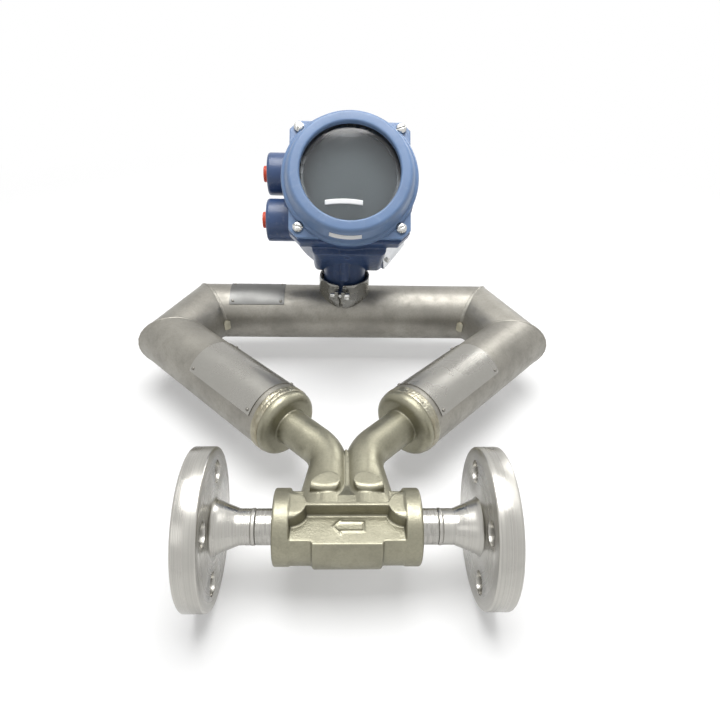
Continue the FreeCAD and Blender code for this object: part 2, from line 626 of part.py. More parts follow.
def arrow():
    """Raised outline of the flow arrow, pointing the way the flow runs."""
    def shape(inset):
        tip = f"-arrow_length / 2 + {inset} * 1.4142"
        tail = f"arrow_length / 2 - {inset}"
        neck = f"-arrow_length / 2 + arrow_head - {inset}"
        head = f"arrow_wide / 2 - {inset} * 2.2"
        shaft = f"arrow_shaft / 2 - {inset}"
        return [(tip, "0"), (neck, f"-({head})"), (neck, f"-({shaft})"), (tail, f"-({shaft})"), (tail, shaft),
                (neck, shaft), (neck, head)]
    return padded("manifold_arrow", "arrow_raise + 0.2", shape("0"), shape("arrow_line"))


def mitre_points():
    """Corners of the casing's axis, from the right arm's foot round to the left arm's."""
    right = [(value("mid_x"), value("foot_y")), (value("mid_x + outer_x"), value("outer_y")),
             (value("mid_x + back_half"), value("back_y"))]
    left = [(2 * value("mid_x") - x, y) for x, y in reversed(right)]
    return [Vector(x, y, 0) for x, y in right + left]


def tube_run(name, start, end, outer, inner):
    """A hollow tube from one axis point to another, longer than needed at its mitred ends."""
    direction = (end - start).normalize()
    turn = Rotation(Vector(0, 0, 1), direction)
    reach = value("case_od")
    low = start - direction * reach
    length = f"{(end - start).Length + 2 * reach}"
    shell = []
    for part, radius in (("outer", outer), ("inner", inner)):
        solid = doc.addObject("Part::Cylinder", f"{name}_{part}")
        bind(solid, Radius=radius, Height=length)
        solid.Placement = Placement(low, turn)
        shell.append(solid)
    return cut(f"{name}_shell", *shell)


def half_space(name, point, normal, depth=None):
    """A block on the side of a plane that the normal points to."""
    solid = doc.addObject("Part::Box", name)
    wide = value("2 * face_to_face")
    solid.Length = solid.Width = wide
    solid.Height = depth or wide
    turn = Rotation(Vector(0, 0, 1), normal)
    solid.Placement = Placement(point - turn.multVec(Vector(wide / 2, wide / 2, 0)), turn)
    return solid


def mitre_normal(points, index):
    """Normal of the mitre plane at a corner, pointing on along the run."""
    before = (points[index] - points[index - 1]).normalize()
    after = (points[index + 1] - points[index]).normalize()
    return (before + after).normalize()


def casing():
    """Five tubes cut square or mitred, and the welds between them."""
    points = mitre_points()
    names = ["right_arm_tube", "right_corner_wedge", "back_case_tube", "left_corner_wedge", "left_arm_tube"]
    for index, name in enumerate(names):
        start, end = points[index], points[index + 1]
        tube = tube_run(name, start, end, "case_od / 2", "case_bore / 2")
        if index == 0:
            direction = (end - start).normalize()
            near = start + direction * value("arm_start")
            low = half_space(name + "_foot", near, direction.negative())
        else:
            low = half_space(name + "_low", start, mitre_normal(points, index).negative())
        if index == len(names) - 1:
            direction = (end - start).normalize()
            near = end - direction * value("arm_start")
            high = half_space(name + "_foot", near, direction)
        else:
            high = half_space(name + "_high", end, mitre_normal(points, index + 1))
        tube = cut(name + "_cut", tube, fuse(name + "_ends", low, high))
        if index == 2:
            stem = cylinder("back_tube_stem_hole", "boss_bore / 2", "case_od", "mid_x", "back_y", "0")
            tube = cut("back_tube_holed", tube, stem)
        node(name, tube)
    for side, corners in (("right", (1, 2)), ("left", (3, 4))):
        beads = []
        for corner in corners:
            normal = mitre_normal(points, corner)
            halves = []
            for part, first, last, way in (("before", corner - 1, corner, -1), ("after", corner, corner + 1, 1)):
                shell = tube_run(f"bead_{corner}_{part}", points[first], points[last], "case_od / 2 + mitre_crown",
                                 "case_od / 2")
                slab = half_space(f"bead_{corner}_{part}_slab", points[corner], normal * way,
                                  value("mitre_weld") / 2)
                halves.append(common(f"bead_{corner}_{part}_half", shell, slab))
            beads.append(fuse(f"bead_{corner}", *halves))
        node(f"{side}_mitre_welds", group(f"{side}_beads", *beads))
    for end, side_name, side in SIDES:
        weld = turned(f"{side_name}_cap_weld_body", [
            ("case_bore / 2", "0"),
            ("case_od / 2", "0"),
            ("case_od / 2 + cap_weld_crown", "cap_weld / 4"),
            ("case_od / 2 + cap_weld_crown", "3 * cap_weld / 4"),
            ("case_od / 2", "cap_weld"),
            ("case_bore / 2", "cap_weld"),
        ])
        node(f"{side_name}_cap_weld", put(weld, *arm_at("cap_rim", side), arm_turn(side)))


def rivet(name):
    """Domed rivet head, drawn along Z from the plate's surface."""
    return turned(name, [
        ("0", "0"), ("rivet_head / 2", "0"), ("rivet_head / 2", "rivet_height / 2"),
        ("rivet_head / 4", "rivet_height"), ("0", "rivet_height"),
    ])


def plate(label, length, arc, middle, x, y, z, turn):
    """A thin plate bent to the casing tube; its middle lies at an angle from the turned X axis."""
    lean = turn.multiply(Rotation(Vector(0, 0, 1), value(middle) - value(arc) / 2))
    outer = cylinder(label + "_outer", "case_od / 2 + plate_play + plate_sheet", length, x, y, z, lean, arc)
    inner = cylinder(label + "_inner", "case_od / 2 + plate_play", length, x, y, z, lean)
    node(label, cut(label + "_sheet", outer, inner))
    heads = []
    spread = value(arc) / 2 - math.degrees(value("rivet_inset") / (value("case_od") / 2))
    for number, (across, along_it) in enumerate(((-1, "rivet_inset"), (-1, f"{length} - rivet_inset"),
                                                 (1, "rivet_inset"), (1, f"{length} - rivet_inset"))):
        out = turn.multiply(Rotation(Vector(0, 0, 1), value(middle) + across * spread))
        radius = value("case_od / 2 + plate_play + plate_sheet")
        spot = Vector(value(x), value(y), value(z)) + turn.multVec(Vector(0, 0, value(along_it)))
        spot = spot + out.multVec(Vector(radius, 0, 0))
        head = rivet(f"{label}_rivet_{number}")
        head.Placement = Placement(spot, out.multiply(Rotation(Vector(0, 1, 0), 90)))
        heads.append(head)
    return heads


def plates():
    """Bare name plates, riveted to the back tube and to each arm."""
    heads = plate("name_plate", "name_plate_length", "name_plate_arc", "103.5", "mid_x - name_plate_end",
                  "back_y", "0", Rotation(Vector(0, 1, 0), Vector(0, 0, 1), Vector(1, 0, 0), "ZXY"))
    for end, side_name, side in SIDES:
        x, y, z = arm_at("tag_near", side)
        heads += plate(f"{side_name}_tag_plate", "tag_length", "tag_arc", f"{side} * 90", x, y, z, arm_turn(side))
    node("plate_rivets", group("plate_rivet_heads", *heads))


def purge_plugs():
    """Welded plugs of the purge holes, one in the inner corner at each end of the back tube."""
    half = math.radians(value("mitre_turn")) / 2
    points = mitre_points()
    for end, side_name, side in SIDES:
        inward = Vector(-side * math.sin(half), -math.cos(half), 0)
        frame = Rotation(Vector(0, 0, 1).cross(inward), Vector(0, 0, 1), inward, "ZYX")
        corner = Vector(value(f"mid_x + {side} * back_half"), value("back_y"), 0)
        surface = value("case_od / 2 + mitre_crown") / math.cos(half)
        block = doc.addObject("Part::Box", f"{side_name}_purge_block")
        bind(block, Length="purge_width", Width="purge_height", Height="2 * purge_width + purge_rise")
        shift = frame.multVec(Vector(-value("purge_width") / 2, -value("purge_height") / 2,
                                     surface - value("2 * purge_width")))
        block.Placement = Placement(corner + shift, frame)
        block = rounded(f"{side_name}_purge_rounded", block, "purge_round",
                        lambda edge, middle: abs(edge.tangentAt(edge.FirstParameter).dot(inward)) > 0.99)
        first = 2 if side > 0 else 3
        tubes = []
        for number, (low, high) in enumerate(((first - 1, first), (first, first + 1))):
            direction = (points[high] - points[low]).normalize()
            tube = doc.addObject("Part::Cylinder", f"{side_name}_purge_tube_{number}")
            bind(tube, Radius="case_od / 2 + mitre_crown", Height="8 * case_od")
            tube.Placement = Placement(points[low] - direction * value("case_od"), along(direction))
            tubes.append(tube)
        node(f"{side_name}_purge_plug", cut(f"{side_name}_purge", block, fuse(f"{side_name}_purge_tubes", *tubes)))


def flow_path(level):
    """Axis of one flow tube: straight runs joined by tangent arcs."""
    points = mitre_points()
    height = level * value("flow_pitch") / 2
    lift = Vector(0, 0, height)
    start = points[0] + (points[1] - points[0]).normalize() * value("cap_inner")
    end = points[5] + (points[4] - points[5]).normalize() * value("cap_inner")
    corners = [start] + points[1:5] + [end]
    radius = value("flow_bend")
    edges = []
    here = start
    for index in range(1, 5):
        before = (corners[index] - corners[index - 1]).normalize()
        after = (corners[index + 1] - corners[index]).normalize()
        turn = before.getAngle(after)
        tangent = radius * math.tan(turn / 2)
        first = corners[index] - before * tangent
        last = corners[index] + after * tangent
        inward = (after - before).normalize()
        middle = corners[index] + inward * (radius / math.cos(turn / 2) - radius)
        edges.append(Part.LineSegment(here + lift, first + lift).toShape())
        edges.append(Part.Arc(first + lift, middle + lift, last + lift).toShape())
        here = last
    edges.append(Part.LineSegment(here + lift, end + lift).toShape())
    return Part.Wire(edges)


def flow_tubes():
    for name, level in (("upper_flow_tube", 1), ("lower_flow_tube", -1)):
        path = flow_path(level)
        start = path.Vertexes[0].Point
        direction = path.Edges[0].tangentAt(path.Edges[0].FirstParameter)
        solids = []
        for diameter in ("flow_od", "flow_od - 2 * flow_wall"):
            ring = Part.Wire([Part.Circle(start, direction, value(diameter) / 2).toShape()])
            solids.append(path.makePipeShell([ring], True, False))
        tube = doc.addObject("Part::Feature", name + "_solid")
        tube.Shape = solids[0].cut(solids[1])
        section = math.pi / 4 * (value("flow_od") ** 2 - value("flow_od - 2 * flow_wall") ** 2)
        if abs(tube.Shape.Volume / (section * path.Length) - 1) > 0.01:
            raise RuntimeError(f"{name} has the wrong volume")
        node(name, tube)
    for end, side_name, side in SIDES:
        bar = box(f"{side_name}_brace_blank", "brace_width", "brace_height", "brace_sheet",
                  *arm_at("cap_inner + brace_gap", side), arm_turn(side))
        shift = arm_turn(side).multVec(Vector(-value("brace_width") / 2, -value("brace_height") / 2, 0))
        bar.setExpression("Placement.Base", None)
        base = Vector(*(value(text) for text in arm_at("cap_inner + brace_gap", side)))
        for axis in "xyz":
            bar.setExpression(f"Placement.Base.{axis}", None)
        bar.Placement = Placement(base + shift, arm_turn(side))
        holes = [cylinder(f"{side_name}_brace_hole_{level}", "flow_od / 2", "brace_height",
                          *arm_at("cap_inner", side, f"{level} * flow_pitch / 2"), arm_turn(side))
                 for level in (1, -1)]
        node(f"{side_name}_brace_bar", cut(f"{side_name}_brace", bar, fuse(f"{side_name}_brace_holes", *holes)))


def station(name, point, turn):
    """Coil and magnet beside the flow tubes, each on a carrier from its own tube.

    The station is drawn with X across the tubes, Y up and Z along them.
    """
    frame = Placement(point, turn)
    reach = value("coil_reach")
    half_pitch = value("flow_pitch") / 2
    sheet = value("carrier_sheet")
    tube = value("flow_od") / 2
    width = value("carrier_width")

    def carrier(level):
        seat = level * half_pitch
        arm = Part.makeBox(reach + tube + (sheet + value("coil_od")) / 2, sheet, width,
                           Vector(-tube - sheet / 2, seat + level * tube - (sheet if level < 0 else 0), -width / 2))
        block = Part.makeBox(2 * tube + sheet, tube, width,
                             Vector(-tube - sheet / 2, seat if level > 0 else seat - tube, -width / 2))
        hole = Part.makeCylinder(tube, width, Vector(0, seat, -width / 2))
        return arm.fuse(block).cut(hole).removeSplitter()

    upright = Vector(0, 1, 0)
    top = half_pitch + tube
    coil = Part.makeCylinder(value("coil_od") / 2, value("coil_height"), Vector(reach, top, 0), upright.negative())
    coil = coil.cut(Part.makeCylinder(value("coil_bore") / 2, value("coil_height"), Vector(reach, top, 0),
                                      upright.negative()))
    magnet = Part.makeCylinder(value("magnet_od") / 2, 2 * top - value("coil_height") / 2 + 1,
                               Vector(reach, -top, 0), upright)
    shapes = {"coil": coil, "magnet": magnet, "coil_carrier": carrier(1), "magnet_carrier": carrier(-1)}
    for part, shape in shapes.items():
        solid = doc.addObject("Part::Feature", f"{name}_{part}_solid")
        solid.Shape = shape
        solid.Placement = frame
        node(f"{name}_{part}", solid)


def stations():
    middle = Vector(value("mid_x"), value("back_y"), 0)
    station("drive", middle, Rotation(Vector(0, -1, 0), Vector(0, 0, 1), Vector(-1, 0, 0), "ZXY"))
    for end, side_name, side in SIDES:
        spot = Vector(*(value(text) for text in arm_at("cap_end + pickoff_run", side)))
        angle = math.radians(value("arm_angle"))
        out = Vector(side * math.cos(angle), math.sin(angle), 0)
        inner = Vector(-side * math.sin(angle), math.cos(angle), 0)
        turn = Rotation(inner, Vector(0, 0, 1), inner.cross(Vector(0, 0, 1)), "ZXY")
        station(f"{side_name}_pickoff", spot, turn)
    sensor = box("temperature_sensor_blank", "sensor_length", "sensor_width", "sensor_width",
                 "mid_x + sensor_offset", "back_y - sensor_width / 2", "-flow_pitch / 2 - flow_od / 2 - sensor_width")
    node("temperature_sensor", sensor)


def stem():
    """Feedthrough boss on the back tube, its glass header, the joint seal and the split clamp."""
    boss = fuse("boss_solid",
                cylinder("boss_post", "boss_od / 2", "joint_height", "mid_x", "back_y", "0"),
                cylinder("boss_lip", "joint_od / 2", "joint_lip", "mid_x", "back_y", "joint_height - joint_lip"))
    tube = cylinder("boss_saddle", "case_od / 2", "2 * case_od", "mid_x - case_od", "back_y", "0", along((1, 0, 0)))
    bore = cylinder("boss_bore_cut", "boss_bore / 2", "joint_height", "mid_x", "back_y", "0")
    groove = cut("boss_groove",
                 cylinder("boss_groove_out", "joint_seal_od / 2", "joint_seal_section", "mid_x", "back_y",
                          "joint_height - joint_seal_section"),
                 cylinder("boss_groove_in", "joint_seal_od / 2 - joint_seal_section", "joint_seal_section", "mid_x",
                          "back_y", "joint_height - joint_seal_section"))
    node("feedthrough_boss", cut("boss_cut", boss, fuse("boss_tools", tube, bore, groove)))
    seal = turned("joint_seal_body", ring_profile("joint_seal_od", "joint_seal_od - 2 * joint_seal_section", "0",
                                                  "joint_seal_section"))
    node("joint_seal", put(seal, "mid_x", "back_y", "joint_height - joint_seal_section"))
    disc = cylinder("header_disc", "boss_bore / 2", "header_sheet", "mid_x", "back_y", "joint_height - header_sheet")
    pins, holes = [], []
    for number in range(int(value("pin_count"))):
        angle = f"{number} * 360 / pin_count * 1 deg"
        spot = (f"mid_x + pin_circle / 2 * cos({angle})", f"back_y + pin_circle / 2 * sin({angle})",
                "joint_height - header_sheet / 2 - pin_length / 2")
        pins.append(cylinder(f"header_pin_{number}", "pin_od / 2", "pin_length", *spot))
        holes.append(cylinder(f"header_hole_{number}", "pin_od / 2", "pin_length", *spot))
    node("feedthrough_header", cut("header_cut", disc, fuse("header_holes", *holes)))
    node("feedthrough_pins", group("header_pins", *pins))

    wall = "joint_od / 2 + clamp_play"
    low, high = "joint_height - clamp_drop", "joint_height + clamp_rise"
    groove_low = "joint_height - joint_lip"
    groove_high = "joint_height + joint_lip + clamp_play"
    ring = turned("clamp_ring_body", [
        ("boss_od / 2", low), ("clamp_od / 2 - clamp_taper", low), ("clamp_od / 2", f"{low} + 3 * clamp_taper"),
        ("clamp_od / 2", f"{high} - 2"), ("clamp_od / 2 - 0.6", high), ("clamp_od / 2 - clamp_wall - 0.6", high),
        (f"neck_od / 2 + clamp_play", f"{groove_high} + 2"), (f"neck_od / 2 + clamp_play", groove_high),
        (wall, groove_high), (wall, groove_low), ("boss_od / 2", groove_low),
    ])
    put(ring, "mid_x", "back_y", "0")
    flats = doc.addObject("Part::Prism", "clamp_flats")
    flats.Polygon = 8
    bind(flats, Circumradius="clamp_flat / cos(22.5 * 1 deg)", Height="clamp_drop + clamp_rise")
    put(flats, "mid_x", "back_y", low, Rotation(Vector(0, 0, 1), value("clamp_turn")))
    ring = common("clamp_ring_flats", ring, flats)
    ear_way = Rotation(Vector(0, 0, 1), value("ear_angle"))
    frame = Placement(Vector(value("mid_x"), value("back_y"), value("joint_height")), ear_way)

    def local_box(name, length, width, height, corner):
        solid = doc.addObject("Part::Box", name)
        bind(solid, Length=length, Width=width, Height=height)
        solid.Placement = frame.multiply(Placement(Vector(*(value(text) for text in corner)), Rotation()))
        return solid

    ears = local_box("clamp_ears", "ear_reach + (clamp_od - joint_od) / 2 - clamp_play", "clamp_split + 2 * ear_sheet",
                     "ear_height", ("joint_od / 2 + clamp_play", "-clamp_split / 2 - ear_sheet",
                                    "ear_rise - ear_height / 2"))
    split = local_box("clamp_split_cut", "clamp_od", "clamp_split", "2 * (clamp_drop + clamp_rise)",
                      ("boss_od / 4", "-clamp_split / 2", "-clamp_drop - clamp_rise"))
    notch = local_box("clamp_notch_cut", "clamp_od", "clamp_notch", "clamp_notch",
                      ("boss_od / 4", "-clamp_notch / 2", "clamp_rise - clamp_notch / 2"))
    about = frame.multVec(Vector(0, 0, value("clamp_rise")))
    notch.Placement = Placement(about, Rotation()).multiply(
        Placement(Vector(), Rotation(ear_way.multVec(Vector(1, 0, 0)), 45))).multiply(
        Placement(about.negative(), Rotation())).multiply(notch.Placement)
    tube = cylinder("clamp_saddle", "case_od / 2 + clamp_play", "2 * case_od", "mid_x - case_od", "back_y", "0",
                    along((1, 0, 0)))
    bolt_x = "clamp_od / 2 + ear_reach / 2"
    grip = "clamp_split + 2 * ear_sheet"
    across = Rotation(Vector(1, 0, 0), 90)
    hole = doc.addObject("Part::Cylinder", "clamp_bolt_hole")
    bind(hole, Radius="clamp_bolt / 2", Height=f"2 * ({grip})")
    hole.Placement = frame.multiply(Placement(Vector(value(bolt_x), value(grip), value("ear_rise")), across))
    node("clamp_ring", cut("clamp_cut", fuse("clamp_solid", ring, ears), fuse("clamp_tools", split, notch, hole, tube)))
    shank = doc.addObject("Part::Cylinder", "clamp_screw_shank")
    bind(shank, Radius="clamp_bolt / 2", Height=f"{grip} + clamp_bolt_rise")
    shank.Placement = frame.multiply(Placement(Vector(value(bolt_x), value(f"({grip}) / 2"), value("ear_rise")),
                                               across))
    head = doc.addObject("Part::Cylinder", "clamp_screw_head")
    bind(head, Radius="clamp_bolt_head / 2", Height="clamp_bolt_rise")
    head.Placement = frame.multiply(Placement(Vector(value(bolt_x), value(f"({grip}) / 2 + clamp_bolt_rise"),
                                                     value("ear_rise")),
                                              across))
    socket = doc.addObject("Part::Prism", "clamp_screw_socket")
    socket.Polygon = 6
    bind(socket, Circumradius="clamp_bolt_head / 4", Height="clamp_bolt_rise / 2")
    socket.Placement = frame.multiply(Placement(Vector(value(bolt_x), value(f"({grip}) / 2 + clamp_bolt_rise"),
                                                       value("ear_rise")), across))
    node("clamp_screw", cut("clamp_screw_cut", fuse("clamp_screw_solid", shank, head), socket))


def head_place():
    """Frame of the head: its origin is the cover's seat, its Z points out of the face and its Y up it."""
    tilt = math.radians(value("head_tilt"))
    forward = Vector(0, -math.cos(tilt), math.sin(tilt))
    crossing = Vector(value("head_x"), value("back_y"), value("head_cross"))
    return Placement(crossing + forward * value("head_seat"), Rotation(Vector(1, 0, 0), 90 - value("head_tilt")))


def head_node(label, thing):
    """Name a finished part of the head and place it."""
    thing.Placement = head_place()
    return node(label, thing)


def screw_spots():
    return [(i, f"{x} * screw_square / 2", f"{y} * screw_square / 2")
            for i, (x, y) in enumerate(((1, 1), (-1, 1), (-1, -1), (1, -1)))]


def port_spots():
    return (("upper", "port_pitch - port_lower"), ("lower", "-port_lower"))


def housing():
    """Cast housing: round can, lugged flange, square block, conduit bosses and the clamped neck."""
    upper = cylinder("can_upper", "can_od / 2", "can_depth", 0, 0, "-can_depth")
    lower = cylinder("can_lower", "can_od / 2", "can_depth - lug_depth", 0, "-can_drop", "-can_depth")
    back = value("-can_depth")
    cans = [rounded(f"can_{number}", can, "can_round",
                    lambda edge, middle: len(edge.Vertexes) == 1 and middle.z < back + 0.01)
            for number, can in enumerate((upper, lower))]
    lugs = put(lug_plate("housing_lugs", "lug_depth", "lug_low", "lug_corner"), 0, 0, "-lug_depth")
    block = box("housing_block_blank", "block_width", "block_reach", "block_depth - lug_depth + 1",
                "-block_width / 2", "-block_reach", "-block_depth")
    block = rounded("housing_block", block, "block_round",
                    lambda edge, middle: middle.y < -value("block_reach") + 0.01 and abs(middle.x) > 1
                    or middle.z < -value("block_depth") + 0.01 and middle.y < -1)
    solids = cans + [lugs, block]
    for name, height in port_spots():
        port = cylinder(f"{name}_port_blank", "port_od / 2", "port_reach", 0, height, "-port_depth",
                        along((-1, 0, 0)))
        reach = value("port_reach")
        solids.append(rounded(f"{name}_port", port, "port_edge",
                              lambda edge, middle: len(edge.Vertexes) == 1 and middle.x < -reach + 0.01))
    upright = head_place().inverse()
    neck = cylinder("neck_post", "neck_od / 2", "head_cross - joint_height - 12", "mid_x", "back_y", "joint_height")
    lip = cylinder("neck_lip", "joint_od / 2", "joint_lip", "mid_x", "back_y", "joint_height")
    rib = cylinder("neck_rib", "rib_boss / 2", "rib_length", "mid_x", "back_y - neck_od / 2 + 1",
                   "joint_height + rib_start")
    for part in (neck, lip, rib):
        part.Placement = upright.multiply(part.Placement)
        for axis in "xyz":
            part.setExpression(f"Placement.Base.{axis}", None)
    solids += [neck, lip, rib]
    cavity = cylinder("housing_cavity", "cavity_od / 2", "cavity_depth + 1", 0, 0, "-cavity_depth")
    wires = cylinder("neck_wire_bore", "neck_bore / 2", "head_cross - joint_height", "mid_x", "back_y",
                     "joint_height - 1")
    wires.Placement = upright.multiply(wires.Placement)
    for axis in "xyz":
        wires.setExpression(f"Placement.Base.{axis}", None)
    groove = cut("housing_groove",
                 cylinder("housing_groove_out", "cover_seal_od / 2", "cover_seal_section", 0, 0,
                          "-cover_seal_section"),
                 cylinder("housing_groove_in", "cover_seal_od / 2 - cover_seal_section", "cover_seal_section", 0, 0,
                          "-cover_seal_section"))
    dimple = cylinder("housing_dimple", "dimple_od / 2", "dimple_depth + 1", "-head_offset / 3", "-block_reach - 1",
                      "-lug_depth - 2 * dimple_od", along((0, 1, 0)))
    solids.append(moved(box("housing_tag_pad", "can_od / 4", "head_tag_width + 1", "head_tag_height + 1",
                            "-can_od / 4 - head_tag_sheet - plate_play", "-head_tag_low - 0.5", "-0.5"), tag_place()))
    flat = moved(box("housing_tag_flat", "can_od / 8", "head_tag_width + 1", "head_tag_height + 1",
                     "-head_tag_sheet - plate_play", "-head_tag_low - 0.5", "-0.5"), tag_place())
    hollows = [cavity, wires, groove, dimple, flat, tag_hole("housing_tag_hole", "tag_shank_length + 1")]
    for name, height in port_spots():
        hollows.append(cylinder(f"{name}_port_hole", "port_bore / 2", "port_reach - can_od / 4", "-port_reach",
                                height, "-port_depth", along((1, 0, 0))))
    for number, x, y in screw_spots():
        hollows.append(cylinder(f"lug_thread_{number}", "screw_shank / 2", "screw_length", x, y,
                                "ear_plate - screw_length"))
    head_node("housing", cut("housing_cut", fuse("housing_solid", *solids), fuse("housing_hollows", *hollows)))


def lug_plate(name, height, low, corner):
    """Square plate with clipped corners."""
    side, clip = "lug_width / 2", f"lug_width / 2 - {corner}"
    return padded(name, height, [
        (side, f"lug_high - {corner}"), (clip, "lug_high"), (f"-({clip})", "lug_high"),
        (f"-({side})", f"lug_high - {corner}"), (f"-({side})", f"{corner} - {low}"), (f"-({clip})", f"-{low}"),
        (clip, f"-{low}"), (side, f"{corner} - {low}"),
    ])


def cover():
    """Cover with its window and four ears, held by a screw through each ear."""
    body = turned("cover_body", [
        ("glass_od / 2 + 0.3", "-spigot_depth"), ("spigot_od / 2", "-spigot_depth"), ("spigot_od / 2", "0"),
        ("rim_od / 2", "0"), ("rim_od / 2", "rim_height - 1.2"), ("rim_od / 2 - 1.2", "rim_height"),
        ("cover_side_od / 2", "rim_height"), ("cover_top_od / 2 + 1.6", "cover_shoulder"),
        ("cover_top_od / 2", "cover_height - 0.6"), ("cover_top_od / 2 - 1.4", "cover_height"),
        ("window_od / 2 + 1", "cover_height"), ("window_od / 2", "cover_height - 1"),
        ("window_od / 2", "cover_height - window_lip"), ("glass_od / 2 + 0.3", "cover_height - window_lip"),
    ])
    ears = cut("cover_ears", lug_plate("cover_ear_plate", "ear_plate", "ear_low", "ear_corner"),
               cylinder("cover_ear_bore", "spigot_od / 2", "ear_plate"))
    holes = []
    for number, x, y in screw_spots():
        holes.append(cylinder(f"cover_screw_hole_{number}", "screw_shank / 2 + 0.5", "ear_plate", x, y, "0"))
        holes.append(cylinder(f"cover_screw_seat_{number}", "screw_head / 2 + 0.4", "rim_height", x, y,
                              "ear_plate"))
    head_node("cover", cut("cover_cut", fuse("cover_solid", body, ears), fuse("cover_holes", *holes)))
    gasket_top = "cover_height - window_lip"
    glass_top = f"{gasket_top} - gasket_sheet"
    glass_low = f"{glass_top} - glass_sheet"
    head_node("glass_gasket", turned("glass_gasket_body", ring_profile("glass_od", "window_od", glass_top,
                                                                       gasket_top)))
    head_node("cover_glass", turned("cover_glass_body", [
        ("0", glass_low), ("glass_od / 2", glass_low), ("glass_od / 2", glass_top), ("0", glass_top)]))
    head_node("glass_retainer", turned("glass_retainer_body", ring_profile(
        "glass_od + 0.6", "retainer_bore", f"{glass_low} - retainer_height", glass_low)))
    head_node("cover_seal", turned("cover_seal_body", ring_profile(
        "cover_seal_od", "cover_seal_od - 2 * cover_seal_section", "-cover_seal_section", "0")))
    screws = []
    for number, x, y in screw_spots():
        screw = turned(f"cover_screw_{number}", [
            ("0", "-screw_length"), ("screw_shank / 2", "-screw_length"), ("screw_shank / 2", "0"),
            ("screw_head / 2", "0"), ("screw_head / 2", "screw_rise * 0.55"),
            ("screw_head / 2 - 0.9", "screw_rise * 0.9"), ("screw_head / 4", "screw_rise"), ("0", "screw_rise"),
        ])
        slot = box(f"cover_screw_slot_{number}", "screw_head + 1", "screw_slot", "screw_rise",
                   "-screw_head / 2 - 0.5", "-screw_slot / 2", "screw_rise * 0.5")
        slotted = cut(f"cover_screw_cut_{number}", screw, slot)
        angle = (20, 75, -12, 32)[number]
        screws.append(put(slotted, x, y, "ear_plate", Rotation(Vector(0, 0, 1), angle)))
    head_node("cover_screws", group("cover_screw_set", *screws))


def ports():
    """Red plugs in the two conduit threads."""
    for name, height in port_spots():
        plug = turned(f"{name}_plug_body", [
            ("0", "-plug_depth"), ("port_bore / 2 - plug_play", "-plug_depth"),
            ("port_bore / 2 - plug_play", "-plug_sunk"), ("plug_head / 2", "-plug_sunk"),
            ("plug_head / 2", "plug_rise - 0.6"), ("plug_head / 2 - 0.6", "plug_rise"), ("0", "plug_rise"),
        ])
        put(plug, "-port_reach", height, "-port_depth", along((-1, 0, 0)))
        plug_place = head_place().multiply(plug.Placement)
        for axis in "xyz":
            plug.setExpression(f"Placement.Base.{axis}", None)
        plug.Placement = plug_place
        node(f"{name}_conduit_plug", plug)


def electronics():
    """Posts, boards, display module and terminal block, stacked from the cavity's floor."""
    levels = [("0", "power_height"), ("power_height + board_sheet", "processor_height"),
              ("processor_height + board_sheet", "display_height")]
    posts = []
    for level, (low, high) in enumerate(levels):
        for number in range(int(value("post_count"))):
            angle = f"({number} + 0.5) * 360 / post_count * 1 deg"
            posts.append(cylinder(f"post_{level}_{number}", "post_od / 2", f"{high} - ({low})",
                                  f"post_circle / 2 * cos({angle})", f"post_circle / 2 * sin({angle})",
                                  f"board_floor + {low}"))
    head_node("board_posts", group("board_post_set", *posts))
    for label, height in (("power_board", "power_height"), ("processor_board", "processor_height")):
        low, high = f"board_floor + {height}", f"board_floor + {height} + board_sheet"
        head_node(label, turned(label + "_disc", [("0", low), ("board_od / 2", low), ("board_od / 2", high),
                                                  ("0", high)]))
    low = "board_floor + display_height"
    display = turned("display_body", [
        ("0", low), ("display_od / 2", low), ("display_od / 2", f"{low} + display_sheet"),
        ("0", f"{low} + display_sheet")])
    head_node("display_module", display)
    block = box("terminal_blank", "terminal_length", "terminal_width", "terminal_height", "-terminal_length / 2",
                "-terminal_width / 2", "board_floor")
    screws, holes = [], []
    pitch = "terminal_length / terminal_count"
    for number in range(int(value("terminal_count"))):
        x = f"-terminal_length / 2 + ({number} + 0.5) * {pitch}"
        depth = "terminal_height / 3"
        holes.append(cylinder(f"terminal_hole_{number}", "terminal_screw / 2", "terminal_height", x, 0,
                              f"board_floor + {depth}"))
        screws.append(cylinder(f"terminal_screw_{number}", "terminal_screw / 2", depth, x, 0,
                               f"board_floor + {depth}"))
    head_node("terminal_block", cut("terminal_cut", block, fuse("terminal_holes", *holes)))
    head_node("terminal_screws", group("terminal_screw_set", *screws))


def moved(thing, place):
    """A drawn piece carried into another frame."""
    for axis in "xyz":
        thing.setExpression(f"Placement.Base.{axis}", None)
    thing.Placement = place.multiply(thing.Placement)
    return thing


def tag_place():
    """Frame of the head's tag: X out of its flat, Y up along it, Z to the cover."""
    around = Rotation(Vector(0, 0, 1), -value("head_tag_angle"))
    corner = around.multVec(Vector(value("head_tag_reach"), 0, -value("head_tag_back")))
    turn = around.multiply(Rotation(Vector(0, 1, 0), -value("head_tag_lean")))
    return Placement(corner - Vector(0, value("can_drop"), 0), turn)


def tag_hole(name, depth):
    """Room for the tag screw's shank."""
    return moved(cylinder(name, "tag_shank / 2", depth, f"-({depth})", "-tag_screw_low", "tag_screw_back",
                          along((1, 0, 0))), tag_place())


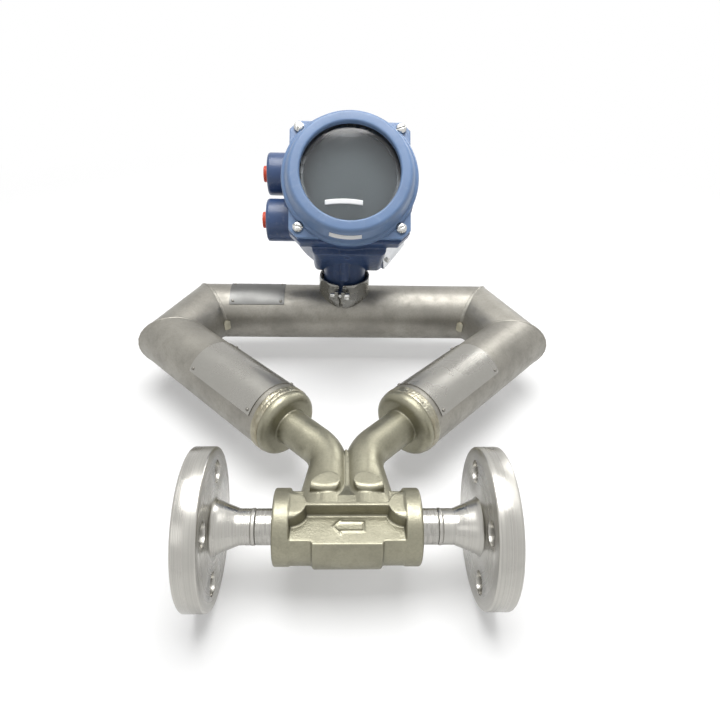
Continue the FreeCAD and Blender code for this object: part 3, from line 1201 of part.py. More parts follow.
def tags():
    """Bare tag on its flat at the right of the can, and the screw that holds it."""
    sheet = moved(box("housing_tag_sheet", "head_tag_sheet", "head_tag_width", "head_tag_height", "-head_tag_sheet",
                      "-head_tag_low", "0"), tag_place())
    head_node("housing_tag", cut("housing_tag_cut", sheet, tag_hole("tag_own_hole", "tag_shank_length")))
    screw = turned("tag_screw_body", [
        ("0", "-tag_shank_length"), ("tag_shank / 2", "-tag_shank_length"), ("tag_shank / 2", "0"),
        ("ground_head / 3", "0"), ("ground_head / 3", "ground_rise / 2"), ("ground_head / 5", "ground_rise"),
        ("0", "ground_rise")])
    spot = Placement(Vector(0, value("-tag_screw_low"), value("tag_screw_back")), along((1, 0, 0)))
    screw.Placement = head_place().multiply(tag_place()).multiply(spot)
    node("tag_screw", screw)


def check():
    """Stop if any object failed or any sub-part is empty."""
    doc.recompute()
    for thing in doc.Objects:
        if "Invalid" in thing.State or "Error" in thing.State:
            raise RuntimeError(f"{thing.Name} failed: {thing.State}")
    for thing in nodes:
        if thing.Shape.isNull() or not thing.Shape.isValid() or not thing.Shape.Solids:
            raise RuntimeError(f"{thing.Label} has no valid solid")


def main():
    for end, side_name, side in SIDES:
        flange(end, side)
    manifold()
    casing()
    plates()
    purge_plugs()
    flow_tubes()
    stations()
    stem()
    housing()
    cover()
    ports()
    electronics()
    tags()
    check()
    os.makedirs("parts", exist_ok=True)
    for thing in nodes:
        thing.Shape.exportStep(f"parts/{thing.Label}.step")
    print(len(nodes), "parts written")


main()
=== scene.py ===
"""Coriolis flow meter: cast skins, weld beads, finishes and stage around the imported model.

The frame is the model's: metres, the origin in the middle of the inlet flange's raised face, +X out of the
inlet, +Y towards the back of the casing and +Z up the transmitter's stem.
"""
import math

import bmesh
import bpy
import numpy as np
from bpy.props import FloatProperty, FloatVectorProperty, PointerProperty
from mathutils import Matrix, Vector


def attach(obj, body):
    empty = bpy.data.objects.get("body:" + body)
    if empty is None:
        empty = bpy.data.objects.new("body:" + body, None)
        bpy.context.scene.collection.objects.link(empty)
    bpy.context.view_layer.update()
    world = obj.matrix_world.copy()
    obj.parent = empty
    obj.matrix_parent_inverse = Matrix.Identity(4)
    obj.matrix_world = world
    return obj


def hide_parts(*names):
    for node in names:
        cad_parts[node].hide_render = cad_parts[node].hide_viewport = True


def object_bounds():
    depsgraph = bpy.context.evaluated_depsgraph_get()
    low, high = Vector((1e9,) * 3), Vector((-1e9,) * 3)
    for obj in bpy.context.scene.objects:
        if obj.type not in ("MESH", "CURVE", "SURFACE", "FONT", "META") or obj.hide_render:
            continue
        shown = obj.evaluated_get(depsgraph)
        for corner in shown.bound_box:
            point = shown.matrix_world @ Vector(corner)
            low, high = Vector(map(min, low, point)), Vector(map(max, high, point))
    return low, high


bl_info = {
    "name": "Coriolis flow meter",
    "version": (1, 0, 0),
    "blender": (4, 5, 0),
    "location": "3D View > Sidebar > Flow meter",
    "description": "Dresses the packed flow meter with cast skins, weld beads, finishes and a stage",
    "category": "Object",
}

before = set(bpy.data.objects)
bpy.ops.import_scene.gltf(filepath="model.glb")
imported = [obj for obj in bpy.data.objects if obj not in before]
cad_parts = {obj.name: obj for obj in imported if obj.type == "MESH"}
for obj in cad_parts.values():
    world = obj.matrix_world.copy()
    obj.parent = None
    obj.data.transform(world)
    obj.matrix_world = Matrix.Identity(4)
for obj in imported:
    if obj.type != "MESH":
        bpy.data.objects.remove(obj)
cad_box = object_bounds()

MM = 0.001
MIDDLE_X = -95 * MM
BACK_Y = 252.5 * MM
SECOND_LENGTH = 59.7 * MM
TUBE_RADIUS = 25.4 * MM
ARM_ANGLE = math.radians(45)
MITRE_TURN = math.radians(67.5)
CAP_WELD_REACH = 67.75 * MM
NECK_WELD_REACH = 55.75 * MM
NECK_RADIUS = 10.6 * MM
HEAD_TILT = math.radians(50)
HEAD_SHIFT = 3 * MM
HEAD_CROSSING_Z = 122.6 * MM
COVER_SEAT = 14.5 * MM
SHARP_ANGLE = 35
WELD_GAP = 0.01 * MM

# the casing's axis: middle of the meter to the first and the second mitre, and the foot where the arms meet
FIRST_MITRE = 126.2 * MM
SECOND_MITRE_X = FIRST_MITRE + SECOND_LENGTH * math.cos(MITRE_TURN)
SECOND_MITRE_Y = BACK_Y - SECOND_LENGTH * math.sin(MITRE_TURN)
FOOT_Y = SECOND_MITRE_Y - SECOND_MITRE_X * math.tan(ARM_ANGLE)


# ---------------------------------------------------------------- colours and sizes that a user would change

def linear(code):
    """Linear red, green and blue of an sRGB hex colour."""
    parts = [int(code[i:i + 2], 16) / 255 for i in (1, 3, 5)]
    return tuple(c / 12.92 if c <= 0.04045 else ((c + 0.055) / 1.055) ** 2.4 for c in parts)


def colour(name, description, code):
    return FloatVectorProperty(name=name, description=description, subtype="COLOR", size=3, min=0, max=1,
                               default=linear(code))


def length(name, description, value):
    return FloatProperty(name=name, description=description, subtype="DISTANCE", unit="LENGTH", min=0,
                         default=value * MM)


class MeterSizes(bpy.types.PropertyGroup):
    casting_grid: length("Casting grid", "Point spacing of the manifold's cast skin", 0.55)
    housing_grid: length("Housing grid", "Point spacing of the housing's cast skin", 0.7)
    cover_grid: length("Cover grid", "Point spacing of the cover's cast skin", 0.5)
    clamp_grid: length("Clamp grid", "Point spacing of the clamp's cast skin", 0.35)
    machined_edge: length("Machined edge", "Width of the broken edge on turned and milled parts", 0.3)
    cap_ripple: length("Cap weld ripple", "Distance between ripples of the welds at the caps", 2.6)
    mitre_ripple: length("Mitre weld ripple", "Distance between ripples of the mitre welds", 1.5)
    neck_ripple: length("Neck weld ripple", "Distance between ripples of the welds at the flange necks", 1.3)
    strip_thickness: length("Strip thickness", "Thickness of the bare strips on the cover", 0.15)


class MeterFinishes(bpy.types.PropertyGroup):
    casting: colour("Casting", "Bead-blasted stainless casting", "#94917f")
    case: colour("Casing", "Bead-blasted stainless tube", "#95928a")
    weld: colour("Weld", "Weld metal, brushed clean", "#a19e8f")
    machined: colour("Machined steel", "Turned stainless steel", "#b3b1ab")
    sheet: colour("Plate", "Polished stainless sheet", "#a5a39d")
    # Painted shade: the housing's blue is a darker copy of the cover's blue, set dark to stand in for the shade on
    # the housing.
    paint: colour("Housing paint", "Blue coat of the housing", "#2f4872")
    cover_paint: colour("Cover paint", "Blue coat of the cover", "#6884ac")
    glass: colour("Window", "Smoky window glass", "#c9cdcf")
    plug: colour("Conduit plug", "Red moulded plug", "#d24a2c")
    strip: colour("Strip", "Bare white strip", "#eeeeef")
    floor: colour("Floor", "Plain pale floor", "#ffffff")


def sizes():
    return bpy.context.scene.meter_sizes


def finishes():
    return bpy.context.scene.meter_finishes


# ---------------------------------------------------------------- meshes

def link(name, mesh):
    piece = bpy.data.objects.new(name, mesh)
    bpy.context.scene.collection.objects.link(piece)
    return piece


def dress(piece, body, slot, material, *nodes):
    """Finish a new piece: its material, the body that carries it and the nodes it stands for; slot is not used."""
    piece.data.materials.clear()
    piece.data.materials.append(material)
    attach(piece, body)
    if nodes:
        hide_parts(*nodes)
    return piece


def cast_skin(node, grid, passes, share):
    """A casting's skin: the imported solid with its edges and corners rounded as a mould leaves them.

    The point attribute stands_out is positive on ridges and negative in hollows.
    """
    rough = link(node + "_rough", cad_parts[node].data.copy())
    weld = rough.modifiers.new("weld", "WELD")
    weld.merge_threshold = WELD_GAP
    voxels = rough.modifiers.new("voxels", "REMESH")
    voxels.mode = "VOXEL"
    voxels.voxel_size = grid
    soften = rough.modifiers.new("soften", "SMOOTH")
    soften.factor = 0.5
    soften.iterations = passes
    mesh = bpy.data.meshes.new_from_object(rough.evaluated_get(bpy.context.evaluated_depsgraph_get()))
    bpy.data.objects.remove(rough)
    mark_ridges(mesh, grid)
    skin = link(node + "_casting", mesh)
    fewer = skin.modifiers.new("fewer", "DECIMATE")
    fewer.ratio = share
    light = bpy.data.meshes.new_from_object(skin.evaluated_get(bpy.context.evaluated_depsgraph_get()))
    skin.modifiers.clear()
    skin.data = light
    light.shade_smooth()
    return skin


def mark_ridges(mesh, grid):
    """Store how far each point stands out from its smoothed surroundings, in grid steps."""
    count = len(mesh.vertices)
    spots = np.empty(count * 3, np.float32)
    normals = np.empty(count * 3, np.float32)
    mesh.vertices.foreach_get("co", spots)
    mesh.vertices.foreach_get("normal", normals)
    spots, normals = spots.reshape(-1, 3), normals.reshape(-1, 3)
    edges = np.empty(len(mesh.edges) * 2, np.int32)
    mesh.edges.foreach_get("vertices", edges)
    first, second = edges.reshape(-1, 2).T
    degree = np.bincount(first, minlength=count) + np.bincount(second, minlength=count)
    smooth = spots.astype(np.float64)
    for step in range(8):
        total = np.zeros_like(smooth)
        for axis in range(3):
            total[:, axis] = (np.bincount(first, smooth[second, axis], count)
                              + np.bincount(second, smooth[first, axis], count))
        smooth = total / degree[:, None]
    stands = ((spots - smooth) * normals).sum(1) / grid
    attribute = mesh.attributes.new("stands_out", "FLOAT", "POINT")
    attribute.data.foreach_set("value", stands.astype(np.float32))


def machined(node, edge, material):
    """Break a machined node's sharp edges and shade its curved faces smoothly."""
    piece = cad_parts[node]
    weld = piece.modifiers.new("weld", "WELD")
    weld.merge_threshold = WELD_GAP
    bevel = piece.modifiers.new("broken_edge", "BEVEL")
    bevel.width = edge
    bevel.segments = 2
    bevel.limit_method = "ANGLE"
    bevel.angle_limit = math.radians(SHARP_ANGLE)
    bevel.use_clamp_overlap = True
    finish(piece, material)


def finish(piece, material, angle=SHARP_ANGLE):
    """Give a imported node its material, with smooth shading up to an angle."""
    for name in ("custom_normal", "sharp_edge", "sharp_face"):
        attribute = piece.data.attributes.get(name)
        if attribute:
            piece.data.attributes.remove(attribute)
    if "weld" not in piece.modifiers:
        weld = piece.modifiers.new("weld", "WELD")
        weld.merge_threshold = WELD_GAP
    piece.data.shade_smooth()
    split = piece.modifiers.new("split", "EDGE_SPLIT")
    split.split_angle = math.radians(angle)
    piece.data.materials.clear()
    piece.data.materials.append(material)


def band_mesh(place, around, across):
    """A closed ring of a bead: place(turn, side, height) gives a point; side runs from -1 to 1."""
    vertices, faces = [], []
    row = 2 * (across + 1)
    for i in range(around):
        turn = 2 * math.pi * i / around
        for j in range(across + 1):
            vertices.append(place(turn, 2 * j / across - 1, True))
        for j in range(across + 1):
            vertices.append(place(turn, 1 - 2 * j / across, False))
    for i in range(around):
        here, there = i * row, (i + 1) % around * row
        for j in range(row):
            k = (j + 1) % row
            faces.append((here + j, here + k, there + k, there + j))
    return vertices, faces


def ripple(run, side, pitch, seed):
    """Height of a hand-laid bead from 0 to 1: overlapping crescents, a little uneven."""
    waver = 0.16 * math.sin(run / pitch * 0.83 + seed) + 0.1 * math.sin(run / pitch * 0.31 + 2.1 * seed)
    phase = run / pitch + 0.55 * side * side + waver
    crescent = 1 - (phase - math.floor(phase)) ** 1.6
    crown = max(0.0, 1 - abs(side) ** 2.4)
    lump = (0.12 * math.sin(run / pitch * 1.7 + 3 * side + seed)
            + 0.08 * math.sin(run / pitch * 2.9 - 5 * side + seed))
    return crown * (0.62 + 0.3 * crescent + lump)


def bead_piece(name, rings, body, slot, material, *nodes):
    """One piece from several closed rings of bead."""
    vertices, faces = [], []
    for ring_vertices, ring_faces in rings:
        shift = len(vertices)
        vertices += ring_vertices
        faces += [tuple(index + shift for index in face) for face in ring_faces]
    mesh = bpy.data.meshes.new(name)
    mesh.from_pydata(vertices, [], faces)
    tidy = bmesh.new()
    tidy.from_mesh(mesh)
    bmesh.ops.recalc_face_normals(tidy, faces=tidy.faces)
    tidy.to_mesh(mesh)
    tidy.free()
    mesh.shade_smooth()
    return dress(link(name, mesh), body, slot, material, *nodes)


def ring_bead(centre, axis, radius, width, height, pitch, seed, around):
    """A bead round a tube: centre of its width, the tube's axis and radius."""
    turn_to = Vector((0, 0, 1)).rotation_difference(Vector(axis)).to_matrix()

    def place(turn, side, top):
        lift = height * ripple(turn * radius, side, pitch, seed) if top else -0.35 * MM
        reach = radius + lift
        wander = 0.12 * width * math.sin(turn * radius / pitch * 0.37 + seed)
        along = side * width / 2 + wander * (1 - side * side)
        local = Vector((reach * math.cos(turn), reach * math.sin(turn), along))
        return centre + turn_to @ local

    return band_mesh(place, around, 16)


def mitre_bead(corner, before, after, radius, width, height, pitch, seed, around):
    """A bead along the seam of two mitred tubes, lying on both of them."""
    normal = (before + after).normalized()
    upright = Vector((0, 0, 1))

    def on_tube(direction, turn, along, reach):
        sideways = upright.cross(direction).normalized()
        radial = sideways * math.cos(turn) + upright * math.sin(turn)
        spot = corner + radial * reach
        run = (corner - spot).dot(normal) / direction.dot(normal)
        return spot + direction * (run + along), radial

    def place(turn, side, top):
        lift = height * ripple(turn * radius, side, pitch, seed) if top else -0.3 * MM
        low, radial_low = on_tube(before, turn, min(side, 0) * width / 2, radius)
        high, radial_high = on_tube(after, turn, max(side, 0) * width / 2, radius)
        base = low if side < 0 else high
        share = 0.5 + 0.5 * side
        out = (radial_low * (1 - share) + radial_high * share).normalized()
        return base + out * lift

    return band_mesh(place, around, 12)


# ---------------------------------------------------------------- materials

def add(tree, kind, inputs=None, **settings):
    """Add a node with its settings; each input is a value or a socket to link."""
    node = tree.nodes.new("ShaderNode" + kind)
    for name, value in settings.items():
        setattr(node, name, value)
    for socket, value in (inputs or {}).items():
        if isinstance(value, bpy.types.NodeSocket):
            tree.links.new(value, node.inputs[socket])
        else:
            node.inputs[socket].default_value = value
    return node


def start(name):
    """An empty material and the object's coordinates, in metres."""
    material = bpy.data.materials.new(name)
    material.use_nodes = True
    tree = material.node_tree
    tree.nodes.clear()
    return material, tree, add(tree, "TexCoord").outputs["Object"]


def close(material, tree, inputs):
    """End a material with its surface shader."""
    shader = add(tree, "BsdfPrincipled", inputs)
    add(tree, "OutputMaterial", {"Surface": shader.outputs[0]})
    return material


def grain(tree, place, size_mm, detail=2.0, roughness=0.5):
    """Noise whose cells are about a size across, in mm."""
    return add(tree, "TexNoise", {"Vector": place, "Scale": 1000 / (2 * size_mm), "Detail": detail,
                                  "Roughness": roughness}).outputs["Fac"]


def spread(tree, fac, low, high, from_low=0.35, from_high=0.65):
    """Map a noise's usual range to two values."""
    return add(tree, "MapRange", {"Value": fac, "From Min": from_low, "From Max": from_high, "To Min": low,
                                  "To Max": high}).outputs["Result"]


def tone(tree, fac, first, second):
    """Mix two colours by a factor."""
    node = add(tree, "Mix", data_type="RGBA", blend_type="MIX")
    for index, content in ((0, fac), (6, first), (7, second)):
        if isinstance(content, bpy.types.NodeSocket):
            tree.links.new(content, node.inputs[index])
        elif index == 0:
            node.inputs[index].default_value = content
        else:
            node.inputs[index].default_value = (*content, 1)
    return node.outputs[2]


def seen_directly(tree):
    """1 for rays from the camera, from a mirror and through glass, which all show the same backdrop."""
    path = add(tree, "LightPath")
    seen = add(tree, "Math", {0: path.outputs["Is Camera Ray"], 1: path.outputs["Is Glossy Ray"]},
               operation="MAXIMUM").outputs[0]
    return add(tree, "Math", {0: seen, 1: path.outputs["Is Transmission Ray"]}, operation="MAXIMUM").outputs[0]


def shade(rgb, factor):
    return tuple(min(1.0, c * factor) for c in rgb)


def ridges(tree):
    """The casting skins' stands_out attribute."""
    return add(tree, "Attribute", attribute_name="stands_out").outputs["Fac"]


def blasted_steel(name, rgb, grit_mm, depth_mm, roughness, metal=1.0, shade_hollows_wear_ridges=False, turned_from=0):
    """Stainless steel after glass-bead blasting: an even satin grey-beige with fine peened grain.

    The shot's dimples spread highlights wide, the dull skin that blasting leaves scatters a share of the light,
    and edges that were handled since are brighter. On ridged skins, hollows are darkened as painted shade.
    The casting's pipe stubs, further than turned_from mm from the meter's middle, are turned bright.
    """
    material, tree, place = start(name)
    clouds = grain(tree, place, 14, 3)
    stain = grain(tree, place, 4, 4, 0.6)
    speck = grain(tree, place, 0.8, 3, 0.7)
    base = tone(tree, spread(tree, clouds, 0, 1), shade(rgb, 0.86), shade(rgb, 1.1))
    base = tone(tree, spread(tree, stain, 0, 0.4, 0.5, 0.75), base, shade(rgb, 0.68))
    base = tone(tree, spread(tree, speck, 0, 0.35, 0.4, 0.75), base, shade(rgb, 0.6))
    rough = spread(tree, stain, roughness - 0.05, roughness + 0.08)
    if shade_hollows_wear_ridges:
        # Painted shade: points in hollows are darkened towards 0.55 of the colour; points on ridges are brightened
        # as handling wear.
        mark = ridges(tree)
        base = tone(tree, add(tree, "MapRange", {"Value": mark, "From Min": -0.25, "From Max": -0.9}).outputs[0],
                    base, shade(rgb, 0.55))
        base = tone(tree, add(tree, "MapRange", {"Value": mark, "From Min": 0.3, "From Max": 1.0}).outputs[0],
                    base, shade(rgb, 1.12))
    fine = grain(tree, place, grit_mm, 2, 0.6)
    strength = 1.0
    if turned_from:
        parts = add(tree, "SeparateXYZ", {"Vector": place}).outputs
        reach = add(tree, "Math", {0: parts["X"], 1: MIDDLE_X, 2: turned_from * MM},
                    operation="COMPARE").outputs[0]
        behind = add(tree, "Math", {0: parts["Y"], 1: 15 * MM}, operation="GREATER_THAN").outputs[0]
        reach = add(tree, "Math", {0: reach, 1: behind}, operation="MAXIMUM").outputs[0]
        smear = grain(tree, add(tree, "Mapping", {"Vector": place, "Scale": (6, 1, 1)}).outputs[0], 5, 3, 0.6)
        bright = tone(tree, spread(tree, smear, 0, 1), shade(finishes().machined, 0.75), finishes().machined)
        base = tone(tree, reach, bright, base)
        rough = add(tree, "Mix", {0: reach, 2: 0.26, 3: rough}).outputs[0]
        strength = add(tree, "MapRange", {"Value": reach, "To Min": 0.15, "To Max": 1.0}).outputs[0]
        metal = add(tree, "MapRange", {"Value": reach, "To Min": 1.0, "To Max": metal}).outputs[0]
    peen = add(tree, "Bump", {"Strength": strength, "Distance": depth_mm * MM, "Height": fine}).outputs["Normal"]
    return close(material, tree, {"Base Color": base, "Metallic": metal, "Roughness": rough, "Normal": peen})


def turned_steel(name, rgb, pitch_mm, roughness):
    """Stainless steel off the lathe: bright, with fine tool lines round the pipe's axis.

    The lines are drawn at the given pitch, coarser than the real 0.1 mm feed, so that they show.
    """
    material, tree, place = start(name)
    parts = add(tree, "SeparateXYZ", {"Vector": place})
    square = [add(tree, "Math", {0: parts.outputs[a], 1: 2.0}, operation="POWER").outputs[0] for a in ("Y", "Z")]
    radius = add(tree, "Math", {0: add(tree, "Math", {0: square[0], 1: square[1]}, operation="ADD").outputs[0],
                                1: 0.5}, operation="POWER").outputs[0]
    rings = add(tree, "CombineXYZ", {"X": parts.outputs["X"], "Y": radius, "Z": 0.0}).outputs[0]
    lines = grain(tree, rings, pitch_mm, 3, 0.7)
    bands = grain(tree, rings, 3.5, 2)
    smear = grain(tree, place, 9, 4, 0.6)
    base = tone(tree, spread(tree, lines, 0, 1), shade(rgb, 0.9), shade(rgb, 1.08))
    base = tone(tree, spread(tree, smear, 0, 0.35, 0.45, 0.75), base, shade(rgb, 0.78))
    rough = spread(tree, bands, roughness - 0.06, roughness + 0.08)
    tool = add(tree, "Bump", {"Strength": 0.6, "Distance": 0.03 * MM, "Height": lines}).outputs["Normal"]
    return close(material, tree, {"Base Color": base, "Metallic": 1.0, "Roughness": rough, "Normal": tool})


def weld_steel(name, rgb):
    """Weld metal after brushing and pickling: dull silver with faint straw and grey heat colours."""
    material, tree, place = start(name)
    heat = grain(tree, place, 3.5, 3)
    base = tone(tree, spread(tree, heat, 0, 1), shade(rgb, 0.75), shade(rgb, 1.2))
    base = tone(tree, spread(tree, grain(tree, place, 9, 2), 0, 0.35), base, linear("#8a7a55"))
    fine = grain(tree, place, 0.35, 3, 0.6)
    bump = add(tree, "Bump", {"Strength": 0.7, "Distance": 0.06 * MM, "Height": fine}).outputs["Normal"]
    return close(material, tree, {"Base Color": base, "Metallic": 1.0,
                                  "Roughness": spread(tree, heat, 0.36, 0.5), "Normal": bump})


def brushed_sheet(name, rgb, roughness):
    """Sheet rolled and brushed one way: fine long lines that stretch highlights across them."""
    material, tree, place = start(name)
    stretch = add(tree, "Mapping", {"Vector": place, "Scale": (1, 1, 8)}).outputs[0]
    lines = grain(tree, stretch, 0.6, 3, 0.7)
    clouds = grain(tree, place, 12, 3)
    base = tone(tree, spread(tree, lines, 0, 1), shade(rgb, 0.9), shade(rgb, 1.06))
    base = tone(tree, spread(tree, clouds, 0, 0.4), base, shade(rgb, 0.82))
    bump = add(tree, "Bump", {"Strength": 0.4, "Distance": 0.02 * MM, "Height": lines}).outputs["Normal"]
    return close(material, tree, {"Base Color": base, "Metallic": 1.0,
                                  "Roughness": spread(tree, clouds, roughness - 0.05, roughness + 0.07),
                                  "Normal": bump})


def painted_casting(name, rgb, roughness):
    """Epoxy paint on an aluminium casting: semi-gloss blue, a soft orange peel and rubbed edges.

    Edges that stand out are rubbed paler, and hollows are darkened as painted shade.
    """
    material, tree, place = start(name)
    clouds = grain(tree, place, 18, 3)
    dust = grain(tree, place, 2.2, 4, 0.6)
    mark = ridges(tree)
    base = tone(tree, spread(tree, clouds, 0, 1), shade(rgb, 0.93), shade(rgb, 1.06))
    # Painted shade: hollows are darkened towards 0.6 of the coat.
    base = tone(tree, add(tree, "MapRange", {"Value": mark, "From Min": -0.3, "From Max": -1.2}).outputs[0],
                base, shade(rgb, 0.6))
    rub = add(tree, "MapRange", {"Value": mark, "From Min": 0.5, "From Max": 1.5, "To Max": 0.5}).outputs[0]
    base = tone(tree, rub, base, tuple(0.5 * c + 0.28 for c in rgb))
    base = tone(tree, spread(tree, dust, 0, 0.12, 0.55, 0.8), base, linear("#c9ccd0"))
    peel = grain(tree, place, 0.9, 2)
    bump = add(tree, "Bump", {"Strength": 0.5, "Distance": 0.08 * MM, "Height": peel}).outputs["Normal"]
    return close(material, tree, {"Base Color": base, "Metallic": 0.0, "IOR": 1.5,
                                  "Roughness": spread(tree, dust, roughness - 0.05, roughness + 0.1),
                                  "Coat Weight": 0.25, "Coat Roughness": 0.18, "Normal": bump})


def moulded_plastic(name, rgb, roughness, grain_mm=0.5, depth=0.4):
    """Injection-moulded plastic with a lightly spark-eroded skin and a few paler scuffs."""
    material, tree, place = start(name)
    scuff = grain(tree, place, 3, 4, 0.65)
    base = tone(tree, spread(tree, scuff, 0, 0.3, 0.5, 0.75), rgb, tuple(0.7 * c + 0.12 for c in rgb))
    fine = grain(tree, place, grain_mm, 2)
    bump = add(tree, "Bump", {"Strength": depth, "Distance": 0.05 * MM, "Height": fine}).outputs["Normal"]
    return close(material, tree, {"Base Color": base, "Roughness": spread(tree, scuff, roughness, roughness + 0.12),
                                  "IOR": 1.49, "Normal": bump})


def smoky_glass(name, rgb):
    """Tempered window glass with a grey tint: dark to look into, with clear reflections on top."""
    material, tree, place = start(name)
    haze = grain(tree, place, 20, 2)
    return close(material, tree, {"Base Color": tone(tree, spread(tree, haze, 0, 1), shade(rgb, 0.94), rgb),
                                  "Roughness": spread(tree, haze, 0.02, 0.05), "IOR": 1.52,
                                  "Transmission Weight": 1.0})


def nickel_plate(name, rgb, roughness):
    """Bright nickel on steel screws: mirror-like, with small dull spots."""
    material, tree, place = start(name)
    spots = grain(tree, place, 0.8, 3)
    base = tone(tree, spread(tree, spots, 0, 0.5, 0.45, 0.8), rgb, shade(rgb, 0.6))
    return close(material, tree, {"Base Color": base, "Metallic": 1.0,
                                  "Roughness": spread(tree, spots, roughness, roughness + 0.15)})


def wound_wire(name, rgb):
    """Enamelled copper wire wound in 0.4 mm turns."""
    material, tree, place = start(name)
    turns = add(tree, "TexWave", {"Vector": place, "Scale": 1000 / 0.4 / 20, "Distortion": 0.4},
                bands_direction="Z").outputs["Fac"]
    bump = add(tree, "Bump", {"Strength": 0.8, "Distance": 0.1 * MM, "Height": turns}).outputs["Normal"]
    return close(material, tree, {"Base Color": tone(tree, turns, shade(rgb, 0.6), rgb), "Metallic": 1.0,
                                  "Roughness": 0.3, "Normal": bump})


def coated_board(name, rgb):
    """Glass-epoxy circuit board under green solder mask, with paler tracks 1.2 mm apart."""
    material, tree, place = start(name)
    tracks = add(tree, "TexBrick", {"Vector": place, "Scale": 1000 / 9, "Color1": (*rgb, 1),
                                    "Color2": (*shade(rgb, 0.8), 1), "Mortar": (*shade(rgb, 1.6), 1),
                                    "Mortar Size": 0.03}).outputs["Color"]
    return close(material, tree, {"Base Color": tracks, "Roughness": 0.35, "IOR": 1.55})


def make_materials():
    """Every finish of the meter, kept by the record's slot."""
    f = finishes()
    return {
        "machined_steel": turned_steel("turned stainless steel", f.machined, 0.35, 0.27),
        "weld_steel": weld_steel("brushed weld metal", f.weld),
        "cast_steel": blasted_steel("bead-blasted cast stainless steel", f.casting, 0.55, 0.12, 0.4, 0.85, True,
                                    43.7),
        "case_steel": blasted_steel("bead-blasted stainless tube", f.case, 0.45, 0.09, 0.44, 0.9),
        "tube_steel": blasted_steel("drawn stainless tube", linear("#a5a19a"), 0.3, 0.01, 0.28),
        "header_glass": moulded_plastic("sintered sealing glass", linear("#5a6b66"), 0.2),
        "pin_brass": nickel_plate("plated brass", linear("#c9ae66"), 0.25),
        "seal_rubber": moulded_plastic("moulded nitrile rubber", linear("#141414"), 0.6),
        "clamp_steel": blasted_steel("precision-cast stainless clamp", linear("#93928d"), 0.4, 0.04, 0.26, 0.85,
                                     True),
        "screw_steel": nickel_plate("nickel-plated steel screw", linear("#c9c9c6"), 0.18),
        # Painted shade: the housing's paint is a darker copy of the cover's, standing in for shade.
        "housing_paint": painted_casting("epoxy-painted aluminium housing", f.paint, 0.4),
        "cover_paint": painted_casting("epoxy-painted aluminium cover", f.cover_paint, 0.38),
        "window_glass": smoky_glass("tempered smoky glass", f.glass),
        "ring_aluminium": brushed_sheet("turned aluminium ring", linear("#9b9da0"), 0.35),
        "display_plastic": moulded_plastic("moulded dark ABS display", linear("#a6acaf"), 0.5, 0.8, 0.05),
        "board_resin": coated_board("coated circuit board", linear("#1c5a38")),
        "terminal_plastic": moulded_plastic("moulded black terminal block", linear("#202020"), 0.45),
        "plug_plastic": moulded_plastic("moulded red polyethylene plug", f.plug, 0.42),
        "tag_aluminium": brushed_sheet("anodised aluminium tag", linear("#c6c8cb"), 0.3),
        "plate_steel": brushed_sheet("polished stainless plate", f.sheet, 0.28),
        "name_steel": brushed_sheet("dull-brushed stainless plate", linear("#6c6c6a"), 0.42),
        "rivet_aluminium": nickel_plate("domed aluminium rivet", linear("#84817b"), 0.35),
        "coil_copper": wound_wire("enamelled copper wire", linear("#b06a3a")),
        "magnet_steel": nickel_plate("nickel-plated magnet", linear("#b9b9b9"), 0.2),
        "strip": moulded_plastic("bare vinyl strip", f.strip, 0.5, 1.0),
    }


def finish_of(slot):
    """The material of a slot, made with all the others the first time."""
    if not finish_of.made:
        finish_of.made.update(make_materials())
    return finish_of.made[slot]


finish_of.made = {}


# ---------------------------------------------------------------- operators

def arm_direction(side):
    return Vector((side * math.cos(ARM_ANGLE), math.sin(ARM_ANGLE), 0))


def arm_foot():
    return Vector((MIDDLE_X, FOOT_Y, 0))


def head_place():
    """Frame of the transmitter head: origin at the cover's seat, Z out of the face, Y up it."""
    crossing = Vector((MIDDLE_X + HEAD_SHIFT, BACK_Y, HEAD_CROSSING_Z))
    forward = Vector((0, -math.sin(HEAD_TILT), math.cos(HEAD_TILT)))
    return Matrix.Translation(crossing + forward * COVER_SEAT) @ Matrix.Rotation(HEAD_TILT, 4, "X")


class METER_OT_manifold(bpy.types.Operator):
    """Cast manifold with softened edges and its raised flow arrow"""
    bl_idname = "meter.manifold"
    bl_label = "Manifold"

    def execute(self, context):
        skin = cast_skin("manifold", sizes().casting_grid, 3, 0.25)
        dress(skin, "sensor", "cast_steel", finish_of("cast_steel"), "manifold")
        arrow = self.arrow()
        dress(arrow, "sensor", "cast_steel", finish_of("cast_steel"))
        return {"FINISHED"}

    def arrow(self):
        """A closed cord of metal laid on the panel, as the pattern's engraving leaves it."""
        half, head, wide, shaft = 9.1, 5.0, 5.3, 3.2
        shift, middle_y, height, cord_radius = 0.6, -9.3, 11.9, 0.16
        points = [(-half, 0), (head - half, -wide), (head - half, -shaft), (half, -shaft), (half, shaft),
                  (head - half, shaft), (head - half, wide)]
        curve = bpy.data.curves.new("flow_arrow", "CURVE")
        curve.dimensions = "3D"
        curve.bevel_depth = cord_radius * MM
        curve.bevel_resolution = 3
        spline = curve.splines.new("POLY")
        spline.points.add(len(points) - 1)
        for point, (x, y) in zip(spline.points, points):
            point.co = (MIDDLE_X + (x + shift) * MM, (y + middle_y) * MM, height * MM, 1)
        spline.use_cyclic_u = True
        source = link("flow_arrow_curve", curve)
        mesh = bpy.data.meshes.new_from_object(source.evaluated_get(bpy.context.evaluated_depsgraph_get()))
        bpy.data.objects.remove(source)
        mesh.shade_smooth()
        return link("flow_arrow", mesh)


class METER_OT_flanges(bpy.types.Operator):
    """Turned flanges with broken edges"""
    bl_idname = "meter.flanges"
    bl_label = "Flanges"

    def execute(self, context):
        for node in ("inlet_flange", "outlet_flange"):
            machined(node, sizes().machined_edge, finish_of("machined_steel"))
        return {"FINISHED"}


